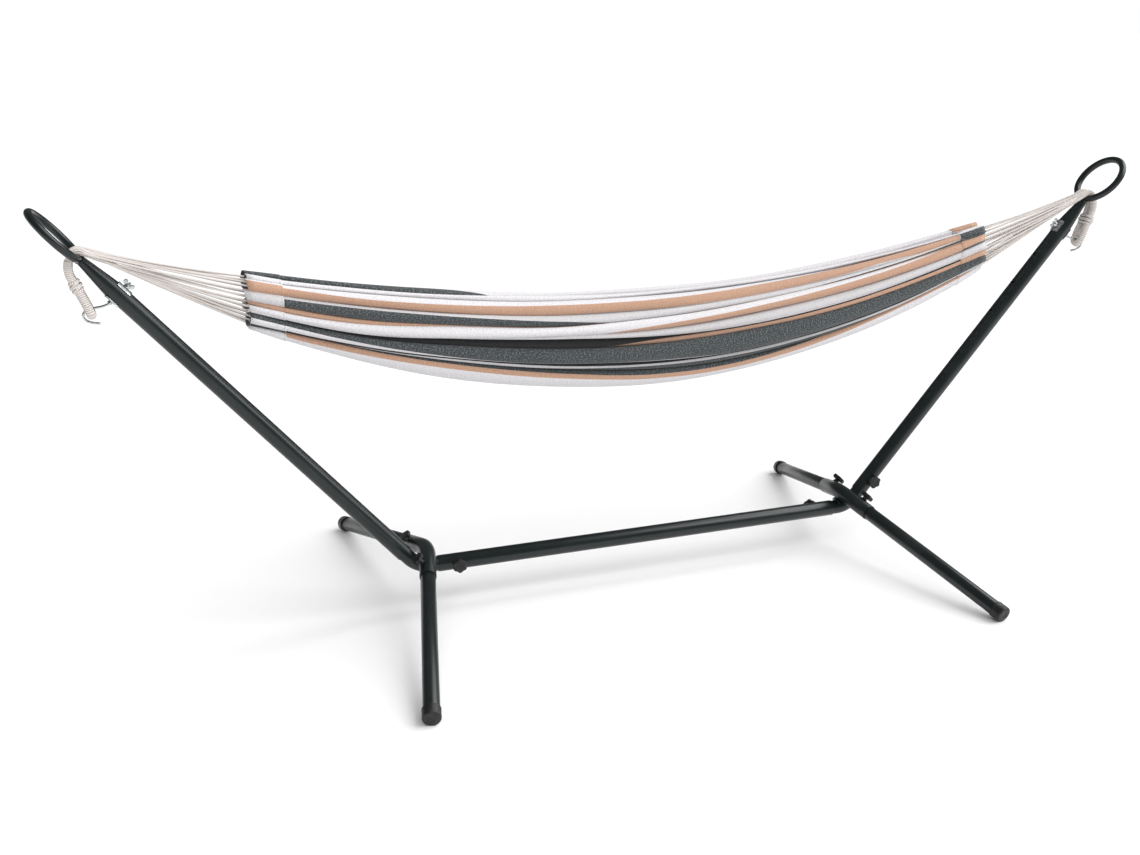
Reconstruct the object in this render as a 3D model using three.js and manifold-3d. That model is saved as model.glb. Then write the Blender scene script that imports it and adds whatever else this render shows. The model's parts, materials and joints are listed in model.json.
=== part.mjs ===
// A gathered cloth hammock on a take-apart stand of tubular steel. Millimetres, +Z up, and the origin
// is on the floor under the middle of the beam. The beam runs along X. The stand's two ends are one
// and the same sub-assembly: the right end is built here, and the left end is it turned half a turn.
import * as THREE from "three";
import { mergeVertices } from "three/addons/utils/BufferGeometryUtils.js";
import Module from "manifold-3d";

const wasm = await Module();
wasm.setup();

// ---------------------------------------------------------------- driving dimensions

const GAP = 0.3; // left between pieces that touch
const TURNING_GAP = 0.4; // round a stud or a shank that turns in its hole
const SOCKET_RADIUS = 21; // outside of the beam, the arms and the cross tubes
const SPIGOT_RADIUS = 19; // outside of the elbows and legs, which slide into them
const WALL = 1.5;
const TUBE_SIDES = 16;

const BEAM_HEIGHT = 110; // axis of the beam above the floor
const BEAM_HALF_LENGTH = 570;
const ELBOW_CORNER = 621.5; // where the beam's axis meets the arm's axis
const ELBOW_BEND_RADIUS = 75;
const ARM_TILT = THREE.MathUtils.degToRad(49.6); // above the horizontal
const ARM_START = 53; // along the arm, from the elbow's corner
const SPIGOT_DEPTH = 90; // how far an elbow reaches into the beam and the arm

const CROSS_CORNER = new THREE.Vector3(596, 0, 157.5); // where the two legs' axes meet
const FOOT_END = new THREE.Vector3(723.1, 585, 18.8); // middle of a foot cap's outer face
const CROSS_BEND_RADIUS = 120;
const CROSS_SOCKET_LENGTH = 123; // from the corner to the cross tube's open end
const LEG_START = 50; // from the corner to the leg's hidden inner end

const RING_RADIUS = 68; // to the middle of its rod
const RING_ROD_RADIUS = 9;
const RING_SEAT = 1095; // from the elbow's corner to the middle of the rod at the arm's tip
const TAPER_LENGTH = 96; // the arm's swaged tip
const TIP_RADIUS = 10.5;

const HOOK_STATION = 984; // the hook's hole along the arm
const HOLE_PITCH = 100;
const SPARE_HOLES = 3; // free holes below the one that the hook uses
const HOOK_ROD_RADIUS = 3;

const KNOB_RADIUS = 19;
const KNOB_LOBES = 6;
const STUD_RADIUS = 4;
const CROSS_KNOB_STATION = 80; // along the leg's axis, from the corner
const ARM_KNOB_STATION = 98;
const BEAM_KNOB_STATION = 521;

const BED_HALF_LENGTH = 1000;
const BED_LOW = 660; // middle of the bed's section at its lowest
const BED_RISE = 168; // from there to the section's middle at the end
const BED_END_HALF_HEIGHT = 62;
const BED_END_HALF_WIDTH = 35;
const BED_BELLY = 55; // how much the half width grows to the middle
const CORD_RADIUS = 9; // one leg of the whipped loop
const CORD_LEG_OFFSET = 13; // from the loop's middle to the middle of a leg

// ---------------------------------------------------------------- finishes

const finish = (color, roughness, metalness) => new THREE.MeshStandardMaterial({ color, roughness, metalness });
const steelPaint = finish(0x1b2324, 0.45, 0.3);
const blackPlastic = finish(0x0f1010, 0.55, 0);
const zinc = finish(0xc4cac8, 0.35, 0.9);
const cotton = finish(0xe8e0d6, 0.95, 0);
const stripedCotton = finish(0xb9a08c, 0.95, 0);

// ---------------------------------------------------------------- geometry helpers

const vec = (x, y, z) => new THREE.Vector3(x, y, z);

/** A closed geometry as a solid that can be cut. */
function toSolid(geometry) {
  const bare = geometry.index ? geometry.toNonIndexed() : geometry.clone();
  bare.deleteAttribute("normal");
  bare.deleteAttribute("uv");
  const merged = mergeVertices(bare, 1e-3);
  const vertProperties = merged.attributes.position.array;
  const triVerts = new Uint32Array(merged.index.array);
  return new wasm.Manifold(new wasm.Mesh({ numProp: 3, vertProperties, triVerts }));
}

/** The geometry with each tool's shape taken out of it. */
function cut(geometry, ...tools) {
  const solid = tools.reduce((rest, tool) => rest.subtract(toSolid(tool)), toSolid(geometry));
  const { vertProperties, triVerts } = solid.getMesh();
  const result = new THREE.BufferGeometry();
  result.setAttribute("position", new THREE.BufferAttribute(vertProperties, 3));
  result.setIndex(new THREE.BufferAttribute(triVerts, 1));
  result.computeVertexNormals();
  return result;
}

/** A turned piece about Z: the profile is a list of [radius, height], from the bottom up. */
function turned(profile, sides = TUBE_SIDES) {
  const points = profile.map(([radius, height]) => new THREE.Vector2(radius, height));
  return new THREE.LatheGeometry(points, sides).rotateX(Math.PI / 2);
}

/** A straight tube about Z, from one height to another. */
function tube(bottom, top, outer, inner, sides = TUBE_SIDES) {
  return turned([[inner, bottom], [outer, bottom], [outer, top], [inner, top], [inner, bottom]], sides);
}

/** A rod about Z, from one height to another. */
function rod(bottom, top, radius, sides = 8) {
  return new THREE.CylinderGeometry(radius, radius, top - bottom, sides)
    .rotateX(Math.PI / 2)
    .translate(0, 0, (bottom + top) / 2);
}

/** A round section swept along a curve, hollow if it has an inner radius. */
function swept(path, steps, outer, inner = 0, sides = TUBE_SIDES) {
  const section = new THREE.Shape().absarc(0, 0, outer, 0, 2 * Math.PI, false);
  if (inner > 0) section.holes.push(new THREE.Path().absarc(0, 0, inner, 0, 2 * Math.PI, true));
  return new THREE.ExtrudeGeometry(section, { extrudePath: path, steps, curveSegments: sides / 2 });
}

/** A path along +X to a corner at the origin, then away from it, turned to the left by a bend. */
class BentPath extends THREE.Curve {
  constructor(before, after, turn, radius, steps) {
    super();
    this.steps = steps;
    this.before = before;
    this.turn = turn;
    this.radius = radius;
    this.tangent = radius * Math.tan(turn / 2);
    this.straight = before - this.tangent;
    this.arc = radius * turn;
    this.total = this.straight + this.arc + after - this.tangent;
  }
  /** Each straight gets a single step, and the bend gets the rest. */
  getUtoTmapping(u) {
    const step = 1 / this.steps;
    const bendStart = this.straight / this.total;
    const bendEnd = (this.straight + this.arc) / this.total;
    if (u < step) return (u / step) * bendStart;
    if (u > 1 - step) return THREE.MathUtils.mapLinear(u, 1 - step, 1, bendEnd, 1);
    return THREE.MathUtils.mapLinear(u, step, 1 - step, bendStart, bendEnd);
  }
  getPoint(t, target = new THREE.Vector3()) {
    const along = t * this.total;
    if (along < this.straight) return target.set(along - this.before, 0, 0);
    const round = along - this.straight;
    if (round < this.arc) {
      const angle = round / this.radius;
      return target.set(this.radius * Math.sin(angle) - this.tangent, this.radius * (1 - Math.cos(angle)), 0);
    }
    const past = round - this.arc + this.tangent;
    return target.set(past * Math.cos(this.turn), past * Math.sin(this.turn), 0);
  }
}

/** A named mesh. */
function piece(name, geometry, material) {
  const mesh = new THREE.Mesh(geometry, material);
  mesh.name = name;
  return mesh;
}

/** A group with a place, a turn about X, then Y, then Z, and its children. */
function placed(position, rotation, ...children) {
  const group = new THREE.Group();
  group.position.copy(position);
  group.rotation.set(...rotation, "ZYX");
  group.add(...children);
  return group;
}

const ORIGIN = vec(0, 0, 0);
const STILL = [0, 0, 0];

// ---------------------------------------------------------------- star knob, stud and weld nut

// A clamp is built about Z, with the middle of the tube that it clamps at the origin.
const NUT_TOP = SOCKET_RADIUS + 5.5;
const KNOB_FOOT = NUT_TOP + 0.7;
const KNOB_DISC = KNOB_FOOT + 2;
const KNOB_TOP = KNOB_DISC + 10;
const STUD_TIP = SPIGOT_RADIUS + 0.4;
const STUD_TOP = KNOB_DISC + 6;

/** The hole that a stud needs in the wall of the outer tube. */
const studHole = () => rod(SPIGOT_RADIUS - 3, NUT_TOP, STUD_RADIUS + TURNING_GAP);

/** A lobed hand grip with a round foot and a blind hole for the stud. */
function knobGeometry() {
  const outline = new THREE.Shape();
  const pointsPerLobe = 4;
  for (let i = 0; i < KNOB_LOBES * pointsPerLobe; i++) {
    const angle = (2 * Math.PI * i) / (KNOB_LOBES * pointsPerLobe);
    const radius = KNOB_RADIUS - 2.4 * (1 - Math.cos(KNOB_LOBES * angle)) * 0.5 - 0.6;
    const point = [radius * Math.cos(angle), radius * Math.sin(angle)];
    if (i === 0) outline.moveTo(...point);
    else outline.lineTo(...point);
  }
  outline.closePath();
  const disc = new THREE.ExtrudeGeometry(outline, { depth: KNOB_TOP - KNOB_DISC, bevelEnabled: false });
  disc.translate(0, 0, KNOB_DISC);
  const foot = rod(KNOB_FOOT, KNOB_DISC + 1, 8.5, 12);
  const solid = toSolid(disc).add(toSolid(foot)).subtract(toSolid(rod(0, STUD_TOP + GAP, STUD_RADIUS + GAP)));
  const { vertProperties, triVerts } = solid.getMesh();
  const geometry = new THREE.BufferGeometry();
  geometry.setAttribute("position", new THREE.BufferAttribute(vertProperties, 3));
  geometry.setIndex(new THREE.BufferAttribute(triVerts, 1));
  geometry.computeVertexNormals();
  return geometry;
}

/** A weld nut with its foot shaped to the tube, which runs along X. */
function weldNutGeometry() {
  const tubeSpace = rod(-20, 20, SOCKET_RADIUS + GAP, 20).rotateY(Math.PI / 2);
  return cut(tube(SOCKET_RADIUS - 3, NUT_TOP, 8, STUD_RADIUS + TURNING_GAP, 12), tubeSpace);
}

/** A whole clamp: the nut on the tube, the stud through it and the knob on the stud. */
function clamp(name) {
  return [
    piece(`weld_nut_${name}`, weldNutGeometry(), steelPaint),
    piece(`stud_${name}`, rod(STUD_TIP, STUD_TOP, STUD_RADIUS), zinc),
    piece(`knob_${name}`, knobGeometry(), blackPlastic),
  ];
}

// ---------------------------------------------------------------- cross tube, legs and feet

// The spread frame starts at the cross corner. Its X runs outward and down between the legs, its Y is
// the stand's Y, and its Z is square to both legs, which lie in its XY plane.
const spreadRun = FOOT_END.x - CROSS_CORNER.x;
const spreadDrop = CROSS_CORNER.z - FOOT_END.z;
const SPREAD_TURN = Math.atan2(spreadDrop, spreadRun);
const LEG_ANGLE = Math.atan2(Math.hypot(spreadRun, spreadDrop), FOOT_END.y); // away from Y
const LEG_REACH = CROSS_CORNER.distanceTo(FOOT_END);

/** A tool or piece about Z moved to a place on a leg's axis, with its Z kept. */
function onLeg(geometry, side, along) {
  return geometry.translate(along * Math.sin(LEG_ANGLE), side * along * Math.cos(LEG_ANGLE), 0);
}

/** The bent cross tube, with a hole for the stud at each socket. */
function crossTubeGeometry() {
  const path = new BentPath(CROSS_SOCKET_LENGTH, CROSS_SOCKET_LENGTH, 2 * LEG_ANGLE, CROSS_BEND_RADIUS, 7);
  const bent = swept(path, path.steps, SOCKET_RADIUS, SOCKET_RADIUS - WALL)
    .rotateX(Math.PI)
    .rotateZ(Math.PI / 2 + LEG_ANGLE);
  return cut(bent, ...[-1, 1].map((side) => onLeg(studHole(), side, CROSS_KNOB_STATION)));
}

const CAP_RADIUS = 21.5;
const CAP_LENGTH = 30;
const CAP_FACE = 3.4;

/** A foot cap about Z with its outer face at the origin, looking along +Z. */
function footCapGeometry() {
  const bore = SPIGOT_RADIUS + 0.6;
  const profile = [
    [0, -CAP_FACE], [bore, -CAP_FACE], [bore, -CAP_LENGTH], [CAP_RADIUS - 0.6, -CAP_LENGTH],
    [CAP_RADIUS, 1 - CAP_LENGTH], [CAP_RADIUS, -3], [CAP_RADIUS - 0.9, -0.9], [CAP_RADIUS - 3, 0], [0, 0],
  ];
  return turned(profile, 16);
}

/** A foot cap in the end's own frame, worn flat where it meets the floor. */
function wornCap(side) {
  const toFoot = vec(FOOT_END.x, side * FOOT_END.y, FOOT_END.z);
  const along = toFoot.clone().sub(CROSS_CORNER).normalize();
  const cap = footCapGeometry()
    .applyQuaternion(new THREE.Quaternion().setFromUnitVectors(vec(0, 0, 1), along))
    .translate(...toFoot);
  return cut(cap, new THREE.BoxGeometry(200, 200, 40).translate(toFoot.x, toFoot.y, -20));
}

/** The cross tube and its two legs, clamps and caps. */
function spread(end) {
  const sides = [-1, 1].map((side) => ({ side, name: `${end.name}_${end.sideNames[side]}` }));
  const legs = sides.map(({ side, name }) =>
    placed(ORIGIN, [-side * Math.PI / 2, 0, -side * LEG_ANGLE], piece(
      `leg_${name}`,
      tube(LEG_START, LEG_REACH - CAP_FACE - GAP, SPIGOT_RADIUS, SPIGOT_RADIUS - WALL),
      steelPaint,
    )),
  );
  const clamps = sides.map(({ side, name }) => placed(
    onLegPoint(side, CROSS_KNOB_STATION), [0, 0, Math.PI / 2 - side * LEG_ANGLE], ...clamp(`cross_${name}`),
  ));
  const frame = placed(
    CROSS_CORNER, [0, SPREAD_TURN, 0],
    piece(`cross_tube_${end.name}`, crossTubeGeometry(), steelPaint), ...legs, ...clamps,
  );
  return [frame, ...sides.map(({ side, name }) => piece(`foot_cap_${name}`, wornCap(side), blackPlastic))];
}

/** A point on a leg's axis in the spread frame. */
function onLegPoint(side, along) {
  return vec(along * Math.sin(LEG_ANGLE), side * along * Math.cos(LEG_ANGLE), 0);
}

// ---------------------------------------------------------------- beam and elbow

/** A stud's hole through the side wall of a tube that runs along X. */
const sideHole = (side, x) => studHole().rotateX(-side * Math.PI / 2).translate(x, 0, 0);

/** The beam, with a stud hole near each end, on opposite sides. */
function beam() {
  const straight = tube(-BEAM_HALF_LENGTH, BEAM_HALF_LENGTH, SOCKET_RADIUS, SOCKET_RADIUS - WALL);
  straight.rotateY(Math.PI / 2);
  const drilled = cut(straight, sideHole(1, BEAM_KNOB_STATION), sideHole(-1, -BEAM_KNOB_STATION));
  const mesh = piece("base_beam", drilled, steelPaint);
  mesh.position.z = BEAM_HEIGHT;
  return mesh;
}

/** The bent spigot that joins the beam to the arm, under the cross tube. */
function elbow(end) {
  const intoBeam = ELBOW_CORNER - BEAM_HALF_LENGTH + SPIGOT_DEPTH;
  const path = new BentPath(intoBeam, ARM_START + SPIGOT_DEPTH, ARM_TILT, ELBOW_BEND_RADIUS, 9);
  const bent = swept(path, path.steps, SPIGOT_RADIUS, SPIGOT_RADIUS - WALL).rotateX(Math.PI / 2);
  const mesh = piece(`elbow_${end.name}`, bent, steelPaint);
  mesh.position.set(ELBOW_CORNER, 0, BEAM_HEIGHT);
  return mesh;
}

// ---------------------------------------------------------------- arm, ring and hook

// The arm frame starts at the elbow's corner. Its Z runs up the arm, its X points out and down, to the
// hook's side, and its Y is the stand's Y.

/** The ring in the arm frame, its rod grown by a margin for use as a cutter. */
function ringGeometry(margin = 0) {
  return new THREE.TorusGeometry(RING_RADIUS, RING_ROD_RADIUS + margin, 8, 28)
    .rotateY(Math.PI / 2)
    .translate(0, 0, RING_SEAT + RING_RADIUS);
}

/** The arm: a tube whose top is swaged down to a short neck that meets the ring. */
function armGeometry() {
  const taperStart = RING_SEAT - TAPER_LENGTH;
  const eased = (share) => 0.7 * share + 0.3 * THREE.MathUtils.smoothstep(share, 0, 1);
  const taper = (share) => THREE.MathUtils.lerp(SOCKET_RADIUS, TIP_RADIUS, eased(share));
  const outer = [0, 0.2, 0.4, 0.6, 0.8, 1].map((share) => [taper(share), taperStart + share * TAPER_LENGTH]);
  const inner = outer.slice(0, -1).reverse().map(([radius, height]) => [radius - WALL, height - WALL]);
  const bore = SOCKET_RADIUS - WALL;
  const profile = [[bore, ARM_START], [SOCKET_RADIUS, ARM_START], ...outer, [0, RING_SEAT],
    [0, inner[0][1]], ...inner, [bore, ARM_START]];
  const boltHole = (along) => rod(-2 * SOCKET_RADIUS, 2 * SOCKET_RADIUS, HOOK_ROD_RADIUS + 1)
    .rotateY(Math.PI / 2)
    .translate(0, 0, along);
  const bolts = Array.from({ length: SPARE_HOLES + 1 }, (_, i) => boltHole(HOOK_STATION - i * HOLE_PITCH));
  const knobHole = studHole().rotateX(Math.PI / 2).translate(0, 0, ARM_KNOB_STATION);
  return cut(turned(profile), knobHole, ringGeometry(GAP), ...bolts);
}

const SADDLE_RADIUS = SOCKET_RADIUS + GAP;
const SADDLE_THICKNESS = 2;
const SADDLE_HALF_ANGLE = THREE.MathUtils.degToRad(42);
const SADDLE_LENGTH = 36;
const saddleTop = SADDLE_RADIUS + SADDLE_THICKNESS;
const shankHole = () => rod(0, 60, HOOK_ROD_RADIUS + GAP).rotateY(Math.PI / 2);

/** A curved washer plate on the +X side of the arm, centred on the origin's height. */
function saddleGeometry() {
  const arc = new THREE.Shape();
  arc.absarc(0, 0, SADDLE_RADIUS, -SADDLE_HALF_ANGLE, SADDLE_HALF_ANGLE, false);
  arc.absarc(0, 0, saddleTop, SADDLE_HALF_ANGLE, -SADDLE_HALF_ANGLE, true);
  const plate = new THREE.ExtrudeGeometry(arc, { depth: SADDLE_LENGTH, bevelEnabled: false, curveSegments: 8 });
  return cut(plate.translate(0, 0, -SADDLE_LENGTH / 2), shankHole());
}

/** The hook: a threaded shank through the arm, then a bend that opens back towards the arm. */
function hookGeometry() {
  const bends = [
    [-38, 0], [-10, 0], [18, 0], [29, 0], [31, 0.1], [43, 5], [54, 12], [66, 18.5],
    [78, 22], [87, 18], [89.5, 8], [85, -4], [73, -19],
  ];
  const path = new THREE.CatmullRomCurve3(bends.map(([x, z]) => vec(x, 0, z)), false, "centripetal");
  return swept(path, 24, HOOK_ROD_RADIUS, 0, 6);
}

/** The hexagon nut that holds the hook against the lower saddle. */
function hookNutGeometry() {
  const hexagon = new THREE.CylinderGeometry(5.8, 5.8, 5, 6).rotateZ(Math.PI / 2);
  hexagon.translate(saddleTop + GAP + 2.5, 0, 0);
  return cut(hexagon, shankHole());
}

/** The wing nut on the arm's inner side: a cone with two ears, about -X. */
function wingNutGeometry() {
  const base = -saddleTop - GAP;
  const cone = new THREE.CylinderGeometry(5, 7, 8, 12).rotateZ(Math.PI / 2).translate(base - 4, 0, 0);
  const ears = [-1, 1].map((side) => new THREE.BoxGeometry(9, 2.4, 9)
    .rotateY(-side * 0.5)
    .translate(base - 8.5, 0, side * 9));
  const solid = ears.reduce((whole, ear) => whole.add(toSolid(ear)), toSolid(cone));
  const bored = solid.subtract(toSolid(rod(-60, 0, HOOK_ROD_RADIUS + TURNING_GAP).rotateY(Math.PI / 2)));
  const { vertProperties, triVerts } = bored.getMesh();
  const geometry = new THREE.BufferGeometry();
  geometry.setAttribute("position", new THREE.BufferAttribute(vertProperties, 3));
  geometry.setIndex(new THREE.BufferAttribute(triVerts, 1));
  geometry.computeVertexNormals();
  return geometry;
}

/** The arm with its ring, its clamp and the hook with what fastens it. */
function arm(end) {
  const lowerSaddle = piece(`saddle_lower_${end.name}`, saddleGeometry(), zinc);
  const upperSaddle = piece(`saddle_upper_${end.name}`, saddleGeometry().rotateZ(Math.PI), zinc);
  const hookSet = placed(
    vec(0, 0, HOOK_STATION), STILL, lowerSaddle, upperSaddle,
    piece(`hook_${end.name}`, hookGeometry(), zinc),
    piece(`hook_nut_${end.name}`, hookNutGeometry(), zinc),
    piece(`wing_nut_${end.name}`, wingNutGeometry(), zinc),
  );
  const armClamp = placed(ORIGIN, [Math.PI / 2, 0, 0], ...clamp(`arm_${end.name}`));
  armClamp.children.forEach((child) => child.geometry.rotateZ(Math.PI / 2));
  armClamp.position.z = ARM_KNOB_STATION;
  return placed(
    vec(ELBOW_CORNER, 0, BEAM_HEIGHT), [0, Math.PI / 2 - ARM_TILT, 0],
    piece(`arm_${end.name}`, armGeometry(), steelPaint),
    piece(`ring_${end.name}`, ringGeometry(), steelPaint),
    armClamp, hookSet,
  );
}

// ---------------------------------------------------------------- hammock

const RING_SEAT_POINT = vec(
  ELBOW_CORNER + RING_SEAT * Math.cos(ARM_TILT), 0, BEAM_HEIGHT + RING_SEAT * Math.sin(ARM_TILT),
);
const OVER_RING = RING_ROD_RADIUS + CORD_RADIUS + 4; // from the rod's middle to the cords' middle

/** The ring's rod as a cutter in the end's own frame. */
const ringSpace = () => ringGeometry(GAP).rotateY(Math.PI / 2 - ARM_TILT).translate(ELBOW_CORNER, 0, BEAM_HEIGHT);

/** The whipped loop: over the ring, down to the hook, round it and back up beside itself. */
function loopGeometry() {
  const { x, z } = RING_SEAT_POINT;
  const run = [
    [x + 1, z + OVER_RING], [x + 5, z + OVER_RING - 0.3], [x + 14, z + 15.5], [x + OVER_RING, z + 3], [x + 20, z - 18],
    [x + 16.5, z - 43], [x + 9.5, z - 66], [x + 0.5, z - 89], [x - 6, z - 106],
  ];
  const low = [x - 9, z - 113];
  const leg = (side) => run.map(([px, pz]) => vec(px, side * CORD_LEG_OFFSET, pz));
  const bottom = [-60, -30, 0, 30, 60].map((degrees) => {
    const angle = THREE.MathUtils.degToRad(degrees);
    const drop = CORD_LEG_OFFSET * Math.cos(angle);
    return vec(low[0] - 0.24 * drop, -CORD_LEG_OFFSET * Math.sin(angle), low[1] - 0.97 * drop);
  });
  const points = [...leg(1), ...bottom, ...leg(-1).reverse()];
  const path = new THREE.CatmullRomCurve3(points, false, "centripetal");
  return cut(swept(path, 30, CORD_RADIUS, 0, 8), ringSpace());
}

/** The bed's middle height, half height and half width at a distance from the middle of the stand. */
function bedSection(x) {
  const share = (x / BED_HALF_LENGTH) ** 2;
  return {
    middle: BED_LOW + BED_RISE * share,
    halfHeight: BED_END_HALF_HEIGHT * (2 - share),
    halfWidth: BED_END_HALF_WIDTH + BED_BELLY * (1 - share),
  };
}

/** The fan of cords between the cloth's end and the ring, as one tapering solid. */
function fanGeometry() {
  const start = BED_HALF_LENGTH + 0.5;
  const finishX = RING_SEAT_POINT.x - GAP;
  const section = bedSection(BED_HALF_LENGTH);
  const lift = RING_SEAT_POINT.z + OVER_RING - section.middle;
  const fan = new THREE.CylinderGeometry(1, 1, 1, 16, 6).rotateZ(-Math.PI / 2);
  const position = fan.attributes.position;
  for (let i = 0; i < position.count; i++) {
    const share = position.getX(i) + 0.5;
    const halfWidth = THREE.MathUtils.lerp(section.halfWidth, CORD_RADIUS, share);
    const halfHeight = THREE.MathUtils.lerp(section.halfHeight, CORD_RADIUS, share);
    position.setXYZ(
      i,
      THREE.MathUtils.lerp(start, finishX, share),
      position.getY(i) * halfWidth,
      section.middle + lift * share + position.getZ(i) * halfHeight,
    );
  }
  return cut(fan, ringSpace());
}

/** The bed: a long trough of cloth, open at the top, that sags between the fans. */
function bed() {
  const lip = 0.86;
  const trough = new THREE.Shape().moveTo(-1, 1).lineTo(-1, -0.2);
  trough.absellipse(0, -0.2, 1, 0.8, Math.PI, 2 * Math.PI, false);
  trough.lineTo(1, 1).lineTo(lip, 1).lineTo(lip, -0.2);
  trough.absellipse(0, -0.2, lip, 0.7, 2 * Math.PI, Math.PI, true);
  trough.lineTo(-lip, 1);
  const cloth = new THREE.ExtrudeGeometry(trough, { depth: 2, steps: 18, bevelEnabled: false, curveSegments: 5 });
  const position = cloth.attributes.position;
  for (let i = 0; i < position.count; i++) {
    const x = (position.getZ(i) - 1) * BED_HALF_LENGTH;
    const { middle, halfHeight, halfWidth } = bedSection(x);
    position.setXYZ(i, x, position.getX(i) * halfWidth, middle + position.getY(i) * halfHeight);
  }
  return piece("hammock_bed", cloth, stripedCotton);
}

// ---------------------------------------------------------------- the whole object

/** One end of the stand, with the cords that hang the bed from it. */
function standEnd(end) {
  return placed(
    ORIGIN, [0, 0, end.turn],
    ...spread(end), elbow(end), arm(end),
    placed(vec(BEAM_KNOB_STATION, 0, BEAM_HEIGHT), [-Math.PI / 2, 0, 0], ...clamp(`beam_${end.name}`)),
    piece(`cord_loop_${end.name}`, loopGeometry(), cotton),
    piece(`cord_fan_${end.name}`, fanGeometry(), cotton),
  );
}

const ends = [
  { name: "right", turn: 0, sideNames: { "-1": "front", 1: "back" } },
  { name: "left", turn: Math.PI, sideNames: { "-1": "back", 1: "front" } },
];

const hammockOnStand = placed(ORIGIN, STILL, beam(), bed(), ...ends.map(standEnd));

export default hammockOnStand;
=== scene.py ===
"""A gathered cotton hammock on a take-apart tubular steel stand, dressed for close views."""

import bisect
import json
import logging
import math
import random
from dataclasses import dataclass, field
from enum import Enum
from typing import Callable, Iterable, Sequence

import bmesh
import bpy
from mathutils import Matrix, Vector

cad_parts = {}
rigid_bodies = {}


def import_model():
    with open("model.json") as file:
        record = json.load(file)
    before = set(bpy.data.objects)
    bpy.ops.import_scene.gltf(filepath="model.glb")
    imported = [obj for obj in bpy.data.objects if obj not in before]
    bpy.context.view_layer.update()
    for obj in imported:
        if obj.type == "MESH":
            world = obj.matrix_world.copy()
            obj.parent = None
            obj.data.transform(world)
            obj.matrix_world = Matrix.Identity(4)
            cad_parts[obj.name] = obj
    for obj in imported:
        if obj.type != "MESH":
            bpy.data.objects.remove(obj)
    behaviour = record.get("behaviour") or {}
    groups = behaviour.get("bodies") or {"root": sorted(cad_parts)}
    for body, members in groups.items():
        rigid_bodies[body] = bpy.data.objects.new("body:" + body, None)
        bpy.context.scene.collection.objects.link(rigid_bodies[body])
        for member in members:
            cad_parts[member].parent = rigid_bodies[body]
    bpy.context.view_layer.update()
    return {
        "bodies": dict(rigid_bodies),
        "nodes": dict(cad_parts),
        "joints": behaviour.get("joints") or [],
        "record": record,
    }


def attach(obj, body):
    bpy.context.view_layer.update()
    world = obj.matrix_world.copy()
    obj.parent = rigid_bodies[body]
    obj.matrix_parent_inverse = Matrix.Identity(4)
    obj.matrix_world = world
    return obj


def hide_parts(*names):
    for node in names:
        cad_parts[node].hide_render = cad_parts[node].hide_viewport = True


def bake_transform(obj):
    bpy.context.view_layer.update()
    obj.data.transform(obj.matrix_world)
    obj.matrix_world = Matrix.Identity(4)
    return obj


LOG = logging.getLogger("hammock")
TAU = 2 * math.pi
QUARTER = math.pi / 2
TUCK = "tuck"  # the vertex attribute that says how deep in a crease the cloth is; the cloth's colour is darkened by it as painted shade
SHARP_EDGE = math.radians(38)
ROUNDED_EDGE = math.radians(50)
Point = Sequence[float]
Colour = tuple[float, float, float]


def about(axis: str, angle: float) -> Matrix:
    """A turn about an axis."""
    return Matrix.Rotation(angle, 4, axis)


def moved(x: float, y: float, z: float) -> Matrix:
    """A shift."""
    return Matrix.Translation((x, y, z))


# ---------------------------------------------------------------- sizes of the stand


@dataclass(frozen=True)
class StandSizes:
    """The stand's driving sizes, in metres. They repeat the frame's own."""

    socket_radius: float = 0.021
    spigot_radius: float = 0.019
    wall: float = 0.0015
    gap: float = 0.0003
    beam_height: float = 0.110
    beam_half_length: float = 0.570
    elbow_corner: float = 0.6215
    elbow_bend_radius: float = 0.075
    arm_tilt: float = math.radians(49.6)
    arm_start: float = 0.053
    spigot_depth: float = 0.090
    cross_corner: tuple[float, float, float] = (0.596, 0.0, 0.1575)
    foot_end: tuple[float, float, float] = (0.7231, 0.585, 0.0188)
    cross_bend_radius: float = 0.120
    cross_socket_length: float = 0.123
    leg_start: float = 0.050
    ring_radius: float = 0.068
    ring_rod_radius: float = 0.009
    ring_seat: float = 1.095
    taper_length: float = 0.096
    tip_radius: float = 0.0105
    hook_station: float = 0.984
    hole_pitch: float = 0.100
    hole_radius: float = 0.004
    spare_holes: int = 3
    hook_rod_radius: float = 0.003
    cross_knob_station: float = 0.080
    arm_knob_station: float = 0.098
    beam_knob_station: float = 0.521

    @property
    def spread_turn(self) -> float:
        """The tilt of the plane that the two legs lie in."""
        run = self.foot_end[0] - self.cross_corner[0]
        return math.atan2(self.cross_corner[2] - self.foot_end[2], run)

    @property
    def leg_angle(self) -> float:
        """The angle of a leg away from Y, in the legs' own plane."""
        run = self.foot_end[0] - self.cross_corner[0]
        drop = self.cross_corner[2] - self.foot_end[2]
        return math.atan2(math.hypot(run, drop), self.foot_end[1])

    @property
    def leg_reach(self) -> float:
        """The distance from the legs' corner to the outer face of a foot cap."""
        return (Vector(self.foot_end) - Vector(self.cross_corner)).length

    @property
    def ring_seat_point(self) -> Vector:
        """The middle of the ring's rod where the arm's tip meets it."""
        return arm_frame(self) @ Vector((0, 0, self.ring_seat))


class End(Enum):
    """The stand's two ends. Each is built as the right one, then turned about Z."""

    RIGHT = ("right", 0.0, ("front", "back"))
    LEFT = ("left", math.pi, ("back", "front"))

    @property
    def label(self) -> str:
        """The end's name in the frame."""
        return self.value[0]

    @property
    def turn(self) -> Matrix:
        """The turn that takes a right-hand piece to this end."""
        return about("Z", self.value[1])

    def side_name(self, side: int) -> str:
        """The name of the -Y or +Y side of this end, before it is turned."""
        return self.value[2][0 if side < 0 else 1]


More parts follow.
